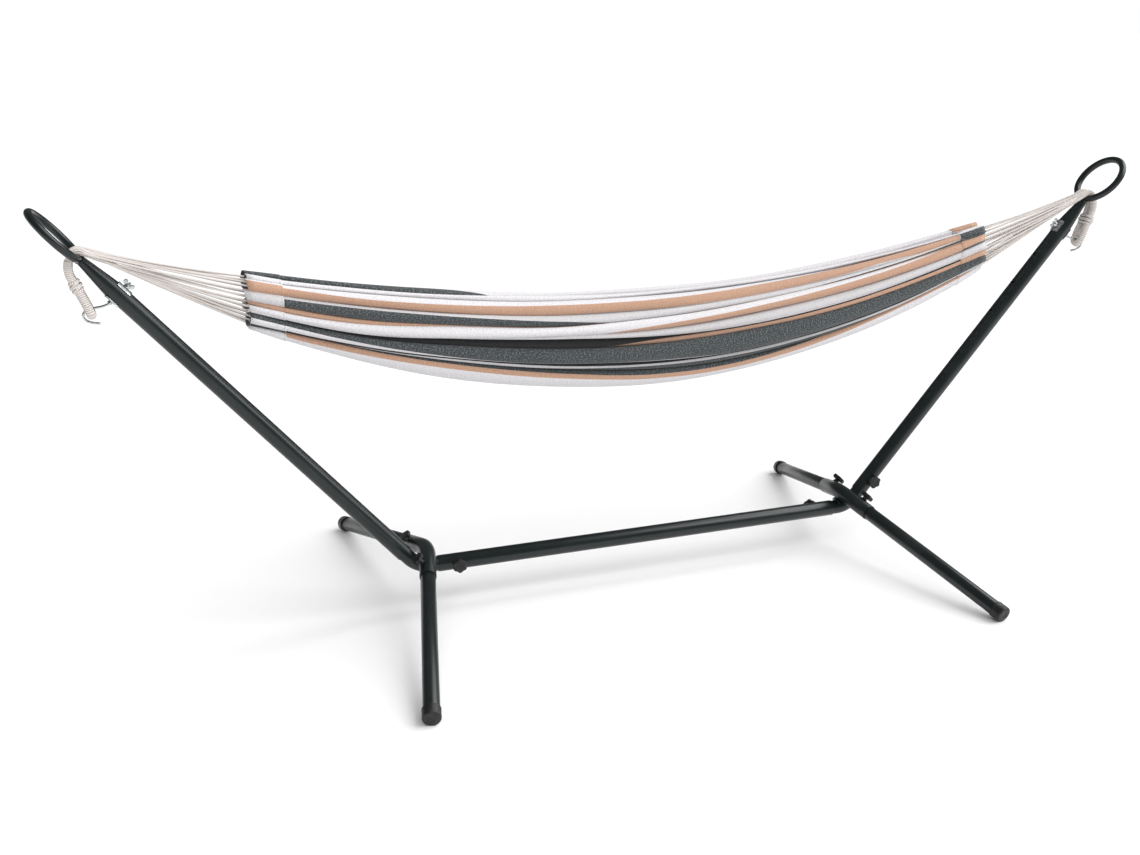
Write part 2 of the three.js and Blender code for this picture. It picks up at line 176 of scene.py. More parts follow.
def arm_frame(sizes: StandSizes) -> Matrix:
    """The arm's frame: Z runs up the arm from the elbow's corner, and X looks out and down."""
    return moved(sizes.elbow_corner, 0, sizes.beam_height) @ about("Y", QUARTER - sizes.arm_tilt)


def spread_frame(sizes: StandSizes) -> Matrix:
    """The legs' frame: Z is square to both legs, and X runs out and down between them."""
    return moved(*sizes.cross_corner) @ about("Y", sizes.spread_turn)


def leg_frame(sizes: StandSizes, side: int) -> Matrix:
    """A leg's frame: Z runs along the leg from the corner to its foot."""
    outward = spread_frame(sizes) @ about("Z", -side * sizes.leg_angle)
    return outward @ about("X", -side * QUARTER)


# ---------------------------------------------------------------- shader maths


class Sock:
    """A node socket that takes part in Python expressions."""

    def __init__(self, tree: bpy.types.NodeTree, socket: bpy.types.NodeSocket) -> None:
        """Wraps a socket of a node tree.

        Args:
            tree: the tree that new nodes go into.
            socket: the output socket that holds the value.
        """
        self.tree, self.socket = tree, socket

    def _math(self, operation: str, *values: "Sock | float") -> "Sock":
        """A Math node's result.

        Args:
            operation: the node's operation.
            values: what goes into it, in order.

        Returns:
            The node's output.
        """
        return add_node(self.tree, "Math", dict(enumerate(values)), operation=operation)

    def __add__(self, other: "Sock | float") -> "Sock":
        """Sum."""
        return self._math("ADD", self, other)

    __radd__ = __add__

    def __mul__(self, other: "Sock | float") -> "Sock":
        """Product."""
        return self._math("MULTIPLY", self, other)

    __rmul__ = __mul__

    def __sub__(self, other: "Sock | float") -> "Sock":
        """Difference."""
        return self._math("SUBTRACT", self, other)

    def __rsub__(self, other: float) -> "Sock":
        """Difference from a number."""
        return self._math("SUBTRACT", other, self)

    def sine(self) -> "Sock":
        """Sine."""
        return self._math("SINE", self)

    def smooth(self, low: float, high: float, out_low: float = 0.0, out_high: float = 1.0) -> "Sock":
        """The value mapped smoothly from one range to another.

        Args:
            low: the value that maps to out_low.
            high: the value that maps to out_high.
            out_low: the lowest result.
            out_high: the highest result.

        Returns:
            The mapped value.
        """
        ends = (self, low, high, out_low, out_high)
        return add_node(self.tree, "MapRange", dict(enumerate(ends)), interpolation_type="SMOOTHSTEP")


def plug(tree: bpy.types.NodeTree, slot: bpy.types.NodeSocket, value: object) -> None:
    """Links a socket to a slot, or sets the slot to a value."""
    if isinstance(value, Sock):
        tree.links.new(value.socket, slot)
    elif isinstance(value, tuple) and len(value) == 3 and slot.type == "RGBA":
        slot.default_value = (*value, 1.0)
    else:
        slot.default_value = value


def add_node(
    tree: bpy.types.NodeTree,
    kind: str,
    sockets: dict[int | str, object],
    out: int | str = 0,
    **settings: object,
) -> Sock:
    """Makes a node of any type.

    Args:
        tree: the tree that it goes into.
        kind: its type's name after ShaderNode.
        sockets: values or links, by the socket's number or name.
        out: the output that is wanted.
        settings: what is set before the sockets. A ramp takes its interpolation, and its stops as places
            and colours in order.

    Returns:
        The chosen output.
    """
    node = tree.nodes.new(f"ShaderNode{kind}")
    for key, value in settings.items():
        if key == "stops":
            set_stops(node.color_ramp.elements, value)
        else:
            setattr(node.color_ramp if key == "interpolation" else node, key, value)
    for key, value in sockets.items():
        plug(tree, node.inputs[key], value)
    return Sock(tree, node.outputs[out])


def set_stops(elements: bpy.types.ColorRampElements, stops: Sequence[tuple[float, Colour]]) -> None:
    """Gives a colour ramp its places and colours, in order."""
    for index, (position, colour) in enumerate(stops):
        element = elements[index] if index < len(elements) else elements.new(position)
        element.position, element.color = position, (*colour, 1.0)


class Shader:
    """One material under construction."""

    def __init__(self, name: str) -> None:
        """Makes an empty node material with a Principled shader."""
        self.material = bpy.data.materials.new(name)
        self.material.use_nodes = True
        self.tree = self.material.node_tree
        self.tree.nodes.clear()
        self.surface = self.tree.nodes.new("ShaderNodeBsdfPrincipled")
        output = self.tree.nodes.new("ShaderNodeOutputMaterial")
        self.tree.links.new(self.surface.outputs[0], output.inputs["Surface"])

    def node(
        self,
        kind: str,
        sockets: dict[int | str, object] | None = None,
        out: int | str = 0,
        **settings: object,
    ) -> Sock:
        """A node in this material, made by add_node from the same arguments."""
        return add_node(self.tree, kind, sockets or {}, out, **settings)

    def place(self) -> Sock:
        """The piece's own object coordinates."""
        return self.node("TexCoord", out="Object")

    def uv(self) -> tuple[Sock, Sock]:
        """The piece's own UV map, as across and along."""
        across = self.node("SeparateXYZ", {0: self.node("TexCoord", out="UV")})
        return across, Sock(self.tree, across.socket.node.outputs[1])

    def noise(self, scale: float, detail: float = 3.0, at: Sock | None = None) -> Sock:
        """A noise value about one half.

        Args:
            scale: cycles per unit of the coordinate.
            detail: octaves.
            at: the coordinate, or None for object coordinates.

        Returns:
            The noise.
        """
        return self.node("TexNoise", {"Vector": at or self.place(), "Scale": scale, "Detail": detail})

    def join(self, x: Sock | float, y: Sock | float, z: Sock | float = 0.0) -> Sock:
        """A vector from three values."""
        return self.node("CombineXYZ", {"X": x, "Y": y, "Z": z})

    def mix(self, share: Sock | float, first: object, second: object) -> Sock:
        """A colour between two colours."""
        first_socket, second_socket, result = 6, 7, 2
        sockets = {0: share, first_socket: first, second_socket: second}
        return self.node("Mix", sockets, result, data_type="RGBA")

    def ramp(self, value: Sock, stops: Sequence[tuple[float, Colour]], hard: bool = False) -> Sock:
        """A colour ramp.

        Args:
            value: where on the ramp.
            stops: places and colours, in order.
            hard: whether each colour holds until the next stop.

        Returns:
            The colour.
        """
        held = "CONSTANT" if hard else "LINEAR"
        return self.node("ValToRGB", {0: value}, interpolation=held, stops=stops)

    def bump(self, height: Sock, distance: float, strength: float = 1.0) -> None:
        """Relief on the surface.

        Args:
            height: the height, as a share of distance.
            distance: the relief's full height, in metres.
            strength: how much of it shows.
        """
        normal = self.node("Bump", {"Height": height, "Distance": distance, "Strength": strength})
        plug(self.tree, self.surface.inputs["Normal"], normal)

    def set(self, **values: object) -> None:
        """Sets or links the Principled shader's sockets by name, with _ for a space."""
        for key, value in values.items():
            plug(self.tree, self.surface.inputs[key.replace("_", " ")], value)


# ---------------------------------------------------------------- finishes


@dataclass(frozen=True)
class PowderCoat:
    """Near-black slate powder coat with a fine orange peel."""

    slot: str = "painted_steel"
    colour: Colour = (0.0062, 0.0100, 0.0105)
    dusted: Colour = (0.0110, 0.0160, 0.0170)

    def build(self) -> bpy.types.Material:
        """Makes the material."""
        s = Shader("powder_coat")
        cloud = s.noise(9.0, 4.0)
        peel = s.noise(700.0, 2.0)
        s.set(
            Base_Color=s.mix(cloud.smooth(0.45, 0.75), self.colour, self.dusted),
            Roughness=s.noise(12.0).smooth(0.3, 0.7, 0.28, 0.34),
            IOR=1.5,
        )
        s.bump(peel, 0.00001, 0.4)
        return s.material


@dataclass(frozen=True)
class BlackPlastic:
    """Moulded black plastic with a fine grain."""

    slot: str = "black_plastic"
    colour: Colour = (0.008, 0.008, 0.009)
    scuffed: Colour = (0.022, 0.022, 0.023)

    def build(self) -> bpy.types.Material:
        """Makes the material."""
        s = Shader("moulded_plastic")
        s.set(
            Base_Color=s.mix(s.noise(60.0, 5.0).smooth(0.5, 0.8), self.colour, self.scuffed),
            Roughness=s.noise(120.0).smooth(0.3, 0.7, 0.42, 0.60),
        )
        s.bump(s.noise(1600.0, 2.0), 0.0001, 0.5)
        return s.material


@dataclass(frozen=True)
class ZincPlate:
    """Bright zinc with cloudy passivation."""

    slot: str = "zinc_steel"
    colour: Colour = (0.62, 0.65, 0.66)
    cloudy: Colour = (0.42, 0.45, 0.47)

    def build(self) -> bpy.types.Material:
        """Makes the material."""
        s = Shader("zinc_plate")
        cloud = s.noise(90.0, 4.0)
        s.set(
            Base_Color=s.mix(cloud.smooth(0.4, 0.7), self.colour, self.cloudy),
            Roughness=cloud.smooth(0.35, 0.7, 0.24, 0.42),
            Metallic=1.0,
        )
        s.bump(s.noise(900.0, 2.0), 0.00008, 0.5)
        return s.material


@dataclass(frozen=True)
class CottonCord:
    """Undyed cotton cord, laid up in strands. Its UV map runs round it once and along it in metres."""

    slot: str = "cotton_cord"
    colour: Colour = (0.70, 0.655, 0.625)
    # the colour of the painted shade in the grooves between strands
    shade: Colour = (0.48, 0.435, 0.41)
    strands: int = 3
    lay: float = 0.011
    relief: float = 0.0006

    def build(self) -> bpy.types.Material:
        """Makes the material."""
        s = Shader(f"cotton_cord_{self.strands}")
        around, along = s.uv()
        phase = (around + along * (1 / self.lay)) * self.strands
        strand = (phase * TAU - QUARTER).sine().smooth(-1.0, 0.2)
        fibre = s.noise(2500.0, 3.0)
        relief = strand * 0.8 + fibre * 0.2
        # Painted shade: the grooves between strands take the darker shade colour.
        s.set(
            Base_Color=s.mix(relief.smooth(0.08, 0.5), self.shade, self.colour),
            Roughness=0.92,
            Sheen_Weight=0.25,
            Sheen_Roughness=0.5,
        )
        s.bump(relief, self.relief, 0.8)
        return s.material


class Yarn(Enum):
    """The yarns that the cloth is woven from: each one's colour and the colour of its flecks. The
    near-black member is no yarn: it is painted shade for the deep grooves between folds.
    """

    WHITE = ((0.75, 0.735, 0.755), (0.60, 0.58, 0.60))
    ECRU = ((0.57, 0.56, 0.575), (0.70, 0.69, 0.70))
    TAN = ((0.49, 0.285, 0.190), (0.60, 0.39, 0.28))
    CHARCOAL = ((0.033, 0.040, 0.043), (0.150, 0.165, 0.172))
    # Painted shade: a near-black colour laid as stripes where the cloth's deep grooves fall.
    BLACK = ((0.007, 0.008, 0.009), (0.022, 0.025, 0.027))


@dataclass(frozen=True)
class StripedCotton:
    """Plain-woven cotton with warp stripes. Its UV map runs across the cloth and along it, 0 to 1."""

    stops: tuple[tuple[float, Yarn], ...]
    width: float
    length: float
    thread: float = 0.0011
    stitch_length: float = 0.0060
    edge_wander: float = 0.0012
    slot: str = "striped_cotton"

    def build(self) -> bpy.types.Material:
        """Makes the material."""
        s = Shader("striped_cotton")
        across, along = s.uv()
        wide, far = across * self.width, along * self.length
        sway = s.noise(1.0, 2.0, s.join(wide * 60.0, far * 9.0)) - 0.5
        wavy = across + sway * (self.edge_wander / self.width)
        stripes = s.ramp(wavy, [(place, yarn.value[0]) for place, yarn in self.stops], hard=True)
        flecks = s.ramp(wavy, [(place, yarn.value[1]) for place, yarn in self.stops], hard=True)
        slub = s.noise(1.0, 3.0, s.join(wide * 900.0, far * 260.0))
        fleck = s.noise(1.0, 2.0, s.join(wide * 460.0, far * 230.0))
        worn = s.mix(fleck.smooth(0.48, 0.64, 0.0, 0.85), stripes, flecks)
        toned = s.mix(slub.smooth(0.30, 0.62, 0.16, 0.0), worn, (0.02, 0.02, 0.02))
        end = (along - 0.5) * (along - 0.5)
        row = end.smooth(0.21427, 0.21457) * end.smooth(0.21487, 0.21517, 1.0, 0.0)
        stitch = row * (wide * (TAU / self.stitch_length)).sine().smooth(-0.3, 0.0)
        weave = (wide * (TAU / self.thread)).sine() * (far * (TAU / self.thread)).sine()
        sewn = s.mix(stitch * 0.55, toned, (0.16, 0.14, 0.13))
        # Painted shade: the colour darkens towards near-black the deeper the cloth lies in a crease.
        tuck = s.node("Attribute", out="Fac", attribute_name=TUCK)
        sewn = s.mix(tuck.smooth(0.0, 1.0, 0.0, 0.88), sewn, (0.010, 0.009, 0.009))
        s.set(Base_Color=sewn, Roughness=0.93, Sheen_Weight=0.15, Sheen_Roughness=0.6)
        s.bump(weave * 0.35 + slub * 0.65 - row * 0.8, 0.0005, 0.6)
        return s.material


Finish = PowderCoat | BlackPlastic | ZincPlate | CottonCord | StripedCotton


class Palette:
    """Builds each finish once and hands it out."""

    def __init__(self) -> None:
        """Starts with no finish built."""
        self._made: dict[Finish, bpy.types.Material] = {}

    def material(self, finish: Finish) -> bpy.types.Material:
        """The material of a finish."""
        if finish not in self._made:
            self._made[finish] = finish.build()
        return self._made[finish]


PAINT, PLASTIC, ZINC, CORD = PowderCoat(), BlackPlastic(), ZincPlate(), CottonCord()
WHIPPED = CottonCord(strands=1, lay=0.0044, relief=0.0010)


# ---------------------------------------------------------------- mesh shaping


def verts_in(geom: Iterable) -> list[bmesh.types.BMVert]:
    """The vertices among an operator's results."""
    return [item for item in geom if isinstance(item, bmesh.types.BMVert)]


def edges_in(geom: Iterable) -> list[bmesh.types.BMEdge]:
    """The edges among an operator's results."""
    return [item for item in geom if isinstance(item, bmesh.types.BMEdge)]


def as_mesh(bm: bmesh.types.BMesh, name: str) -> bpy.types.Mesh:
    """A mesh made from a bmesh, which is used up."""
    mesh = bpy.data.meshes.new(name)
    bm.to_mesh(mesh)
    bm.free()
    return mesh


def in_scene(name: str, data: bpy.types.ID) -> bpy.types.Object:
    """A new object in the scene."""
    made = bpy.data.objects.new(name, data)
    bpy.context.scene.collection.objects.link(made)
    return made


def turned_verts(bm: bmesh.types.BMesh, matrix: Matrix, verts: Iterable | None = None) -> None:
    """Moves vertices, or all of them, by a matrix."""
    bmesh.ops.transform(bm, matrix=matrix, verts=list(verts if verts is not None else bm.verts))


def tidy(bm: bmesh.types.BMesh) -> None:
    """Merges doubles and turns every face outwards."""
    bmesh.ops.remove_doubles(bm, verts=bm.verts, dist=1e-6)
    bmesh.ops.recalc_face_normals(bm, faces=bm.faces)


def spun(profile: Sequence[tuple[float, float]], steps: int = 48) -> bmesh.types.BMesh:
    """A turned solid about Z.

    Args:
        profile: radius and height of each corner, from one end of the line to the other.
        steps: sides of the result.

    Returns:
        The solid.
    """
    bm = bmesh.new()
    verts = [bm.verts.new((radius, 0, height)) for radius, height in profile]
    edges = [bm.edges.new(pair) for pair in zip(verts, verts[1:])]
    bmesh.ops.spin(
        bm, geom=verts + edges, cent=(0, 0, 0), axis=(0, 0, 1), angle=TAU, steps=steps, use_merge=True
    )
    tidy(bm)
    return bm


def frames_along(points: Sequence[Point]) -> list[Matrix]:
    """Frames that follow a path with no twist.

    Args:
        points: the path.

    Returns:
        One matrix for each point, with Z along the path.
    """
    places = [Vector(p) for p in points]
    last = len(places) - 1
    tangents = [(places[min(i + 1, last)] - places[max(i - 1, 0)]).normalized() for i in range(last + 1)]
    side = tangents[0].orthogonal().normalized()
    frames = []
    for place, tangent in zip(places, tangents):
        side = (side - tangent * side.dot(tangent)).normalized()
        matrix = Matrix((side, tangent.cross(side), tangent)).transposed().to_4x4()
        frames.append(Matrix.Translation(place) @ matrix)
    return frames


def swept(
    points: Sequence[Point],
    radius: float | Callable[[float, float], float],
    sides: int,
    capped: bool = True,
) -> bmesh.types.BMesh:
    """A round section extruded along a path, with a UV map round it and along it.

    Args:
        points: the path.
        radius: the section's radius, or a function of the length so far and the angle.
        sides: sides of the section.
        capped: whether the two ends are closed.

    Returns:
        The swept shape.
    """
    size = radius if callable(radius) else lambda along, angle: radius
    frames = frames_along(points)
    bm = bmesh.new()
    rank = bm.verts.layers.int.new("rank")
    step = bm.verts.layers.int.new("step")
    ring = bmesh.ops.create_circle(bm, segments=sides, radius=1.0)["verts"]
    angles = [math.atan2(v.co.y, v.co.x) for v in ring]
    edges = list(bm.edges)
    lengths = [0.0]
    for before, after in zip(frames, frames[1:]):
        lengths.append(lengths[-1] + (after.translation - before.translation).length)

    def settle(verts: Sequence, number: int) -> None:
        """Puts a ring of vertices on its frame."""
        for index, (vert, angle) in enumerate(zip(verts, angles)):
            reach = size(lengths[number], angle)
            vert.co = frames[number] @ Vector((reach * math.cos(angle), reach * math.sin(angle), 0))
            vert[rank], vert[step] = index, number

    settle(ring, 0)
    ends = [list(edges)]
    for number in range(1, len(frames)):
        grown = bmesh.ops.extrude_edge_only(bm, edges=edges)["geom"]
        edges = edges_in(grown)
        settle(sorted(verts_in(grown), key=lambda v: v[rank]), number)
    ends.append(list(edges))
    uv = bm.loops.layers.uv.new("UVMap")
    for face in bm.faces:
        wraps = {loop.vert[rank] for loop in face.loops} == {0, sides - 1}
        for loop in face.loops:
            index = sides if wraps and loop.vert[rank] == 0 else loop.vert[rank]
            loop[uv].uv = (index / sides, lengths[loop.vert[step]])
    if capped:
        for end in ends:
            bmesh.ops.edgeloop_fill(bm, edges=end)
    bmesh.ops.recalc_face_normals(bm, faces=bm.faces)
    return bm


def merged(parts: Sequence[bmesh.types.BMesh]) -> bmesh.types.BMesh:
    """Several meshes as one. The parts are used up."""
    whole = bmesh.new()
    for part in parts:
        scratch = as_mesh(part, "scratch")
        whole.from_mesh(scratch)
        bpy.data.meshes.remove(scratch)
    return whole


def disc(radii: Sequence[float], height: float, round_off: float) -> bmesh.types.BMesh:
    """A flat plate of any outline, with rounded rims.

    Args:
        radii: the outline's radius at even angles.
        height: the plate's thickness, from Z = 0 up.
        round_off: how far each rim is rounded.

    Returns:
        The plate.
    """
    bm = bmesh.new()
    verts = bmesh.ops.create_circle(bm, cap_ends=True, segments=len(radii), radius=1.0)["verts"]
    for vert, radius in zip(verts, radii):
        vert.co = vert.co.normalized() * radius
    grown = bmesh.ops.extrude_face_region(bm, geom=list(bm.faces))["geom"]
    bmesh.ops.translate(bm, vec=(0, 0, height), verts=verts_in(grown))
    bmesh.ops.recalc_face_normals(bm, faces=bm.faces)
    rims = [e for e in bm.edges if abs(e.verts[0].co.z - e.verts[1].co.z) < 1e-9]
    bmesh.ops.bevel(
        bm, geom=rims, offset=round_off, segments=3, profile=0.5, affect="EDGES", material=-1
    )
    return bm


def spline(points: Sequence[Point], per_span: int) -> list[Vector]:
    """A smooth path through points, by centripetal blending.

    Args:
        points: what the path goes through.
        per_span: steps between two points.

    Returns:
        The path's points.
    """
    inside = [Vector(point) for point in points]
    run = [2 * inside[0] - inside[1], *inside, 2 * inside[-1] - inside[-2]]
    path = []
    for a, b, c, d in zip(run, run[1:], run[2:], run[3:]):
        tb = max((b - a).length, 1e-9) ** 0.5
        tc = tb + max((c - b).length, 1e-9) ** 0.5
        td = tc + max((d - c).length, 1e-9) ** 0.5
        for i in range(per_span):
            t = tb + (tc - tb) * i / per_span
            ab = a.lerp(b, t / tb)
            bc = b.lerp(c, (t - tb) / (tc - tb))
            cd = c.lerp(d, (t - tc) / (td - tc))
            early, late = ab.lerp(bc, t / tc), bc.lerp(cd, (t - tb) / (td - tb))
            path.append(early.lerp(late, (t - tb) / (tc - tb)))
    path.append(run[-2])
    return path


class Workshop:
    """Turns shaped meshes into dressed pieces that ride on the frame."""

    def __init__(self, frame: dict) -> None:
        """Takes the loaded frame."""
        self.palette = Palette()
        groups = frame["record"]["behaviour"]["bodies"]
        self.body_of = {node: body for body, nodes in groups.items() for node in nodes}

    def mesh_object(self, name: str, bm: bmesh.types.BMesh, finish: Finish) -> bpy.types.Object:
        """A smooth object with a material.

        Args:
            name: the piece's name.
            bm: its mesh, which is used up.
            finish: its finish.

        Returns:
            The object, linked to the scene.
        """
        mesh = as_mesh(bm, name)
        mesh.shade_smooth()
        mesh.set_sharp_from_angle(angle=SHARP_EDGE)
        mesh.materials.append(self.palette.material(finish))
        return in_scene(name, mesh)

    def add(
        self, name: str, bm: bmesh.types.BMesh, finish: Finish, *nodes: str, wall: float = 0.0,
        rim: float = 0.0, body: str | None = None,
    ) -> bpy.types.Object:
        """A finished piece that stands for frame nodes.

        Args:
            name: the piece's name.
            bm: its mesh where it stands, which is used up.
            finish: its finish.
            nodes: the frame's nodes that it replaces.
            wall: inward wall thickness of an open shell.
            rim: how far its sharp edges are rounded.
            body: the body that it rides on, if it replaces no node.

        Returns:
            The piece.
        """
        piece = self.mesh_object(name, bm, finish)
        if wall:
            shell = piece.modifiers.new("wall", "SOLIDIFY")
            shell.thickness, shell.offset = wall, -1.0
        if rim:
            bevel = piece.modifiers.new("rim", "BEVEL")
            bevel.width, bevel.segments, bevel.limit_method = rim, 2, "ANGLE"
            bevel.angle_limit = ROUNDED_EDGE
        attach(piece, body or self.body_of[nodes[0]])
        if nodes:
            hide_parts(*nodes)
        LOG.info("%s: %d faces", name, len(piece.data.polygons))
        return piece


def drilled(
    bm: bmesh.types.BMesh, wall: float, holes: Sequence[Matrix], radius: float
) -> bmesh.types.BMesh:
    """A tube's open shell given its wall and drilled through.

    Args:
        bm: the outer surface, which is used up.
        wall: the wall's thickness.
        holes: frames with Z along each hole.
        radius: the holes' radius.

    Returns:
        The drilled tube.
    """
    cutter_length = 0.08
    cutters = []
    for hole in holes:
        cutter = bmesh.new()
        bmesh.ops.create_cone(
            cutter, cap_ends=True, segments=24, radius1=radius, radius2=radius, depth=cutter_length,
            matrix=hole,
        )
        cutters.append(cutter)
    objects = [in_scene("scratch", as_mesh(part, "scratch")) for part in (bm, merged(cutters))]
    target, tool = objects
    shell = target.modifiers.new("wall", "SOLIDIFY")
    shell.thickness, shell.offset = wall, -1.0
    cut = target.modifiers.new("cut", "BOOLEAN")
    cut.operation, cut.solver, cut.object = "DIFFERENCE", "EXACT", tool
    graph = bpy.context.evaluated_depsgraph_get()
    result = bmesh.new()
    result.from_mesh(target.evaluated_get(graph).to_mesh())
    for made in objects:
        mesh = made.data
        bpy.data.objects.remove(made)
        bpy.data.meshes.remove(mesh)
    return result


def bead(path: Sequence[Point], radius: float, ripple: float = 0.0028) -> bmesh.types.BMesh:
    """A weld bead with its overlapping ripples.

    Args:
        path: the bead's line.
        radius: its radius.
        ripple: the ripples' pitch.

    Returns:
        The bead.
    """

    def rippled(along: float, angle: float) -> float:
        """The bead's radius, which dips between the ripples."""
        return radius * (0.9 + 0.1 * abs(math.sin(math.pi * along / ripple)))

    return swept(path, rippled, 10)


def thread_share(along: float, angle: float, pitch: float) -> float:
    """How deep a screw thread is cut at a place on its rod.

    Args:
        along: the length along the rod.
        angle: the angle round it.
        pitch: the thread's pitch.

    Returns:
        The depth, from 0 at the crest to 1 at the root.
    """
    return abs(((along / pitch + angle / TAU) % 1) * 2 - 1)


# ---------------------------------------------------------------- clamps


@dataclass
class Clamp:
    """A star knob on a stud through a weld nut, built about Z from the clamped tube's axis."""

    sizes: StandSizes
    knob_radius: float = 0.019
    lobes: int = 6
    lobe_depth: float = 0.0026
    stud_radius: float = 0.004
    nut_height: float = 0.0055
    knob_foot: float = 0.0272
    knob_disc: float = 0.0292
    knob_top: float = 0.0392
    thread: float = 0.00125

    def knob(self) -> bmesh.types.BMesh:
        """The lobed grip, with a dished top and a boss under it."""
        count = 24 * self.lobes
        dips = [0.5 - 0.5 * math.cos(TAU * i * self.lobes / count) for i in range(count)]
        radii = [self.knob_radius - 0.0003 - self.lobe_depth * dip**1.4 for dip in dips]
        grip = disc(radii, self.knob_top - self.knob_disc, 0.0022)
        turned_verts(grip, moved(0, 0, self.knob_disc))
        top = self.knob_top
        cap = spun([
            (0, top - 0.002), (0.0105, top - 0.002), (0.0105, top + 0.0001), (0.0098, top + 0.0006),
            (0.0085, top + 0.0006), (0.0075, top - 0.0002), (0.004, top - 0.0006), (0, top - 0.0006),
        ], 40)
        foot, sunk = self.knob_foot, self.knob_disc + 0.001
        boss = spun([(0, foot), (0.0072, foot), (0.0078, foot + 0.0006), (0.0088, sunk), (0, sunk)], 40)
        return merged([grip, cap, boss])

    def stud(self) -> bmesh.types.BMesh:
        """The threaded stud with a flange washer under the knob."""
        low, high = self.sizes.spigot_radius + 0.0004, self.knob_disc + 0.004
        steps = int((high - low) / self.thread * 6)
        path = [(0, 0, low + (high - low) * i / steps) for i in range(steps + 1)]

        def threaded(along: float, angle: float) -> float:
            """The stud's radius with its thread."""
            return self.stud_radius - 0.0005 * thread_share(along, angle, self.thread)

        base = self.knob_foot - 0.0013
        top = base + 0.0012
        washer = spun([
            (0.0035, base), (0.0070, base), (0.0073, base + 0.0003), (0.0073, base + 0.0009), (0.0070, top),
            (0.0035, top),
        ], 36)
        return merged([swept(path, threaded, 18), washer])

    def nut(self) -> bmesh.types.BMesh:
        """The weld nut, a short collar that sinks into its weld on the tube along X."""
        seat = self.sizes.socket_radius
        low, top = seat - 0.0022, seat + self.nut_height - 0.0012
        bore, collar_radius, weld_radius = self.stud_radius + 0.0003, 0.0078, 0.0082
        collar = spun([
            (bore, low), (collar_radius, low), (collar_radius, top - 0.0006), (0.0072, top), (bore, top),
            (bore, low),
        ], 36)
        line = []
        for angle in (TAU * i / 48 for i in range(49)):
            x, y = weld_radius * math.cos(angle), weld_radius * math.sin(angle)
            line.append((x, y, math.sqrt(seat**2 - y**2) + 0.0004))
        return merged([collar, bead(line, 0.0016, 0.0021)])

    def build(self, shop: Workshop, name: str, place: Matrix) -> None:
        """Makes the clamp's three pieces.

        Args:
            shop: where pieces are finished.
            name: the clamp's name in the frame.
            place: its place, with Z away from the tube.
        """
        for kind, shape, finish in (
            ("weld_nut", self.nut, PAINT), ("stud", self.stud, ZINC), ("knob", self.knob, PLASTIC)
        ):
            bm = shape()
            turned_verts(bm, place)
            shop.add(f"{kind}_{name}_look", bm, finish, f"{kind}_{name}")


# ---------------------------------------------------------------- stand


def bent_tube(
    radius: float, start: Point, legs: tuple[float, float], turn: float, bend_radius: float,
    place: Matrix, sides: int = 48,
) -> bmesh.types.BMesh:
    """The open outer surface of a tube with one bend, in its own XY plane.

    Args:
        radius: the tube's outer radius.
        start: where its axis starts, before place. It sets off along +X.
        legs: straight lengths before and after the bend.
        turn: the bend's angle, to the left.
        bend_radius: the bend's radius.
        place: where the tube goes.
        sides: sides of its section.

    Returns:
        The surface.
    """
    bm = bmesh.new()
    bmesh.ops.create_circle(bm, segments=sides, radius=radius, matrix=about("Y", QUARTER))
    bmesh.ops.translate(bm, vec=start, verts=bm.verts)
    x, y, z = start

    def grow(edges: list, offset: Point) -> list:
        """Extrudes an end straight on, and returns the new end's edges."""
        out = bmesh.ops.extrude_edge_only(bm, edges=edges)["geom"]
        bmesh.ops.translate(bm, vec=offset, verts=verts_in(out))
        return edges_in(out)

    edges = grow(list(bm.edges), (legs[0], 0, 0))
    geom = edges + list(dict.fromkeys(vert for edge in edges for vert in edge.verts))
    steps = max(4, round(math.degrees(turn) / 2.5))
    out = bmesh.ops.spin(
        bm, geom=geom, cent=(x + legs[0], y + bend_radius, z), axis=(0, 0, 1), angle=turn, steps=steps
    )["geom_last"]
    edges = edges_in(out)
    grow(edges, (legs[1] * math.cos(turn), legs[1] * math.sin(turn), 0))
    tidy(bm)
    turned_verts(bm, place)
    return bm


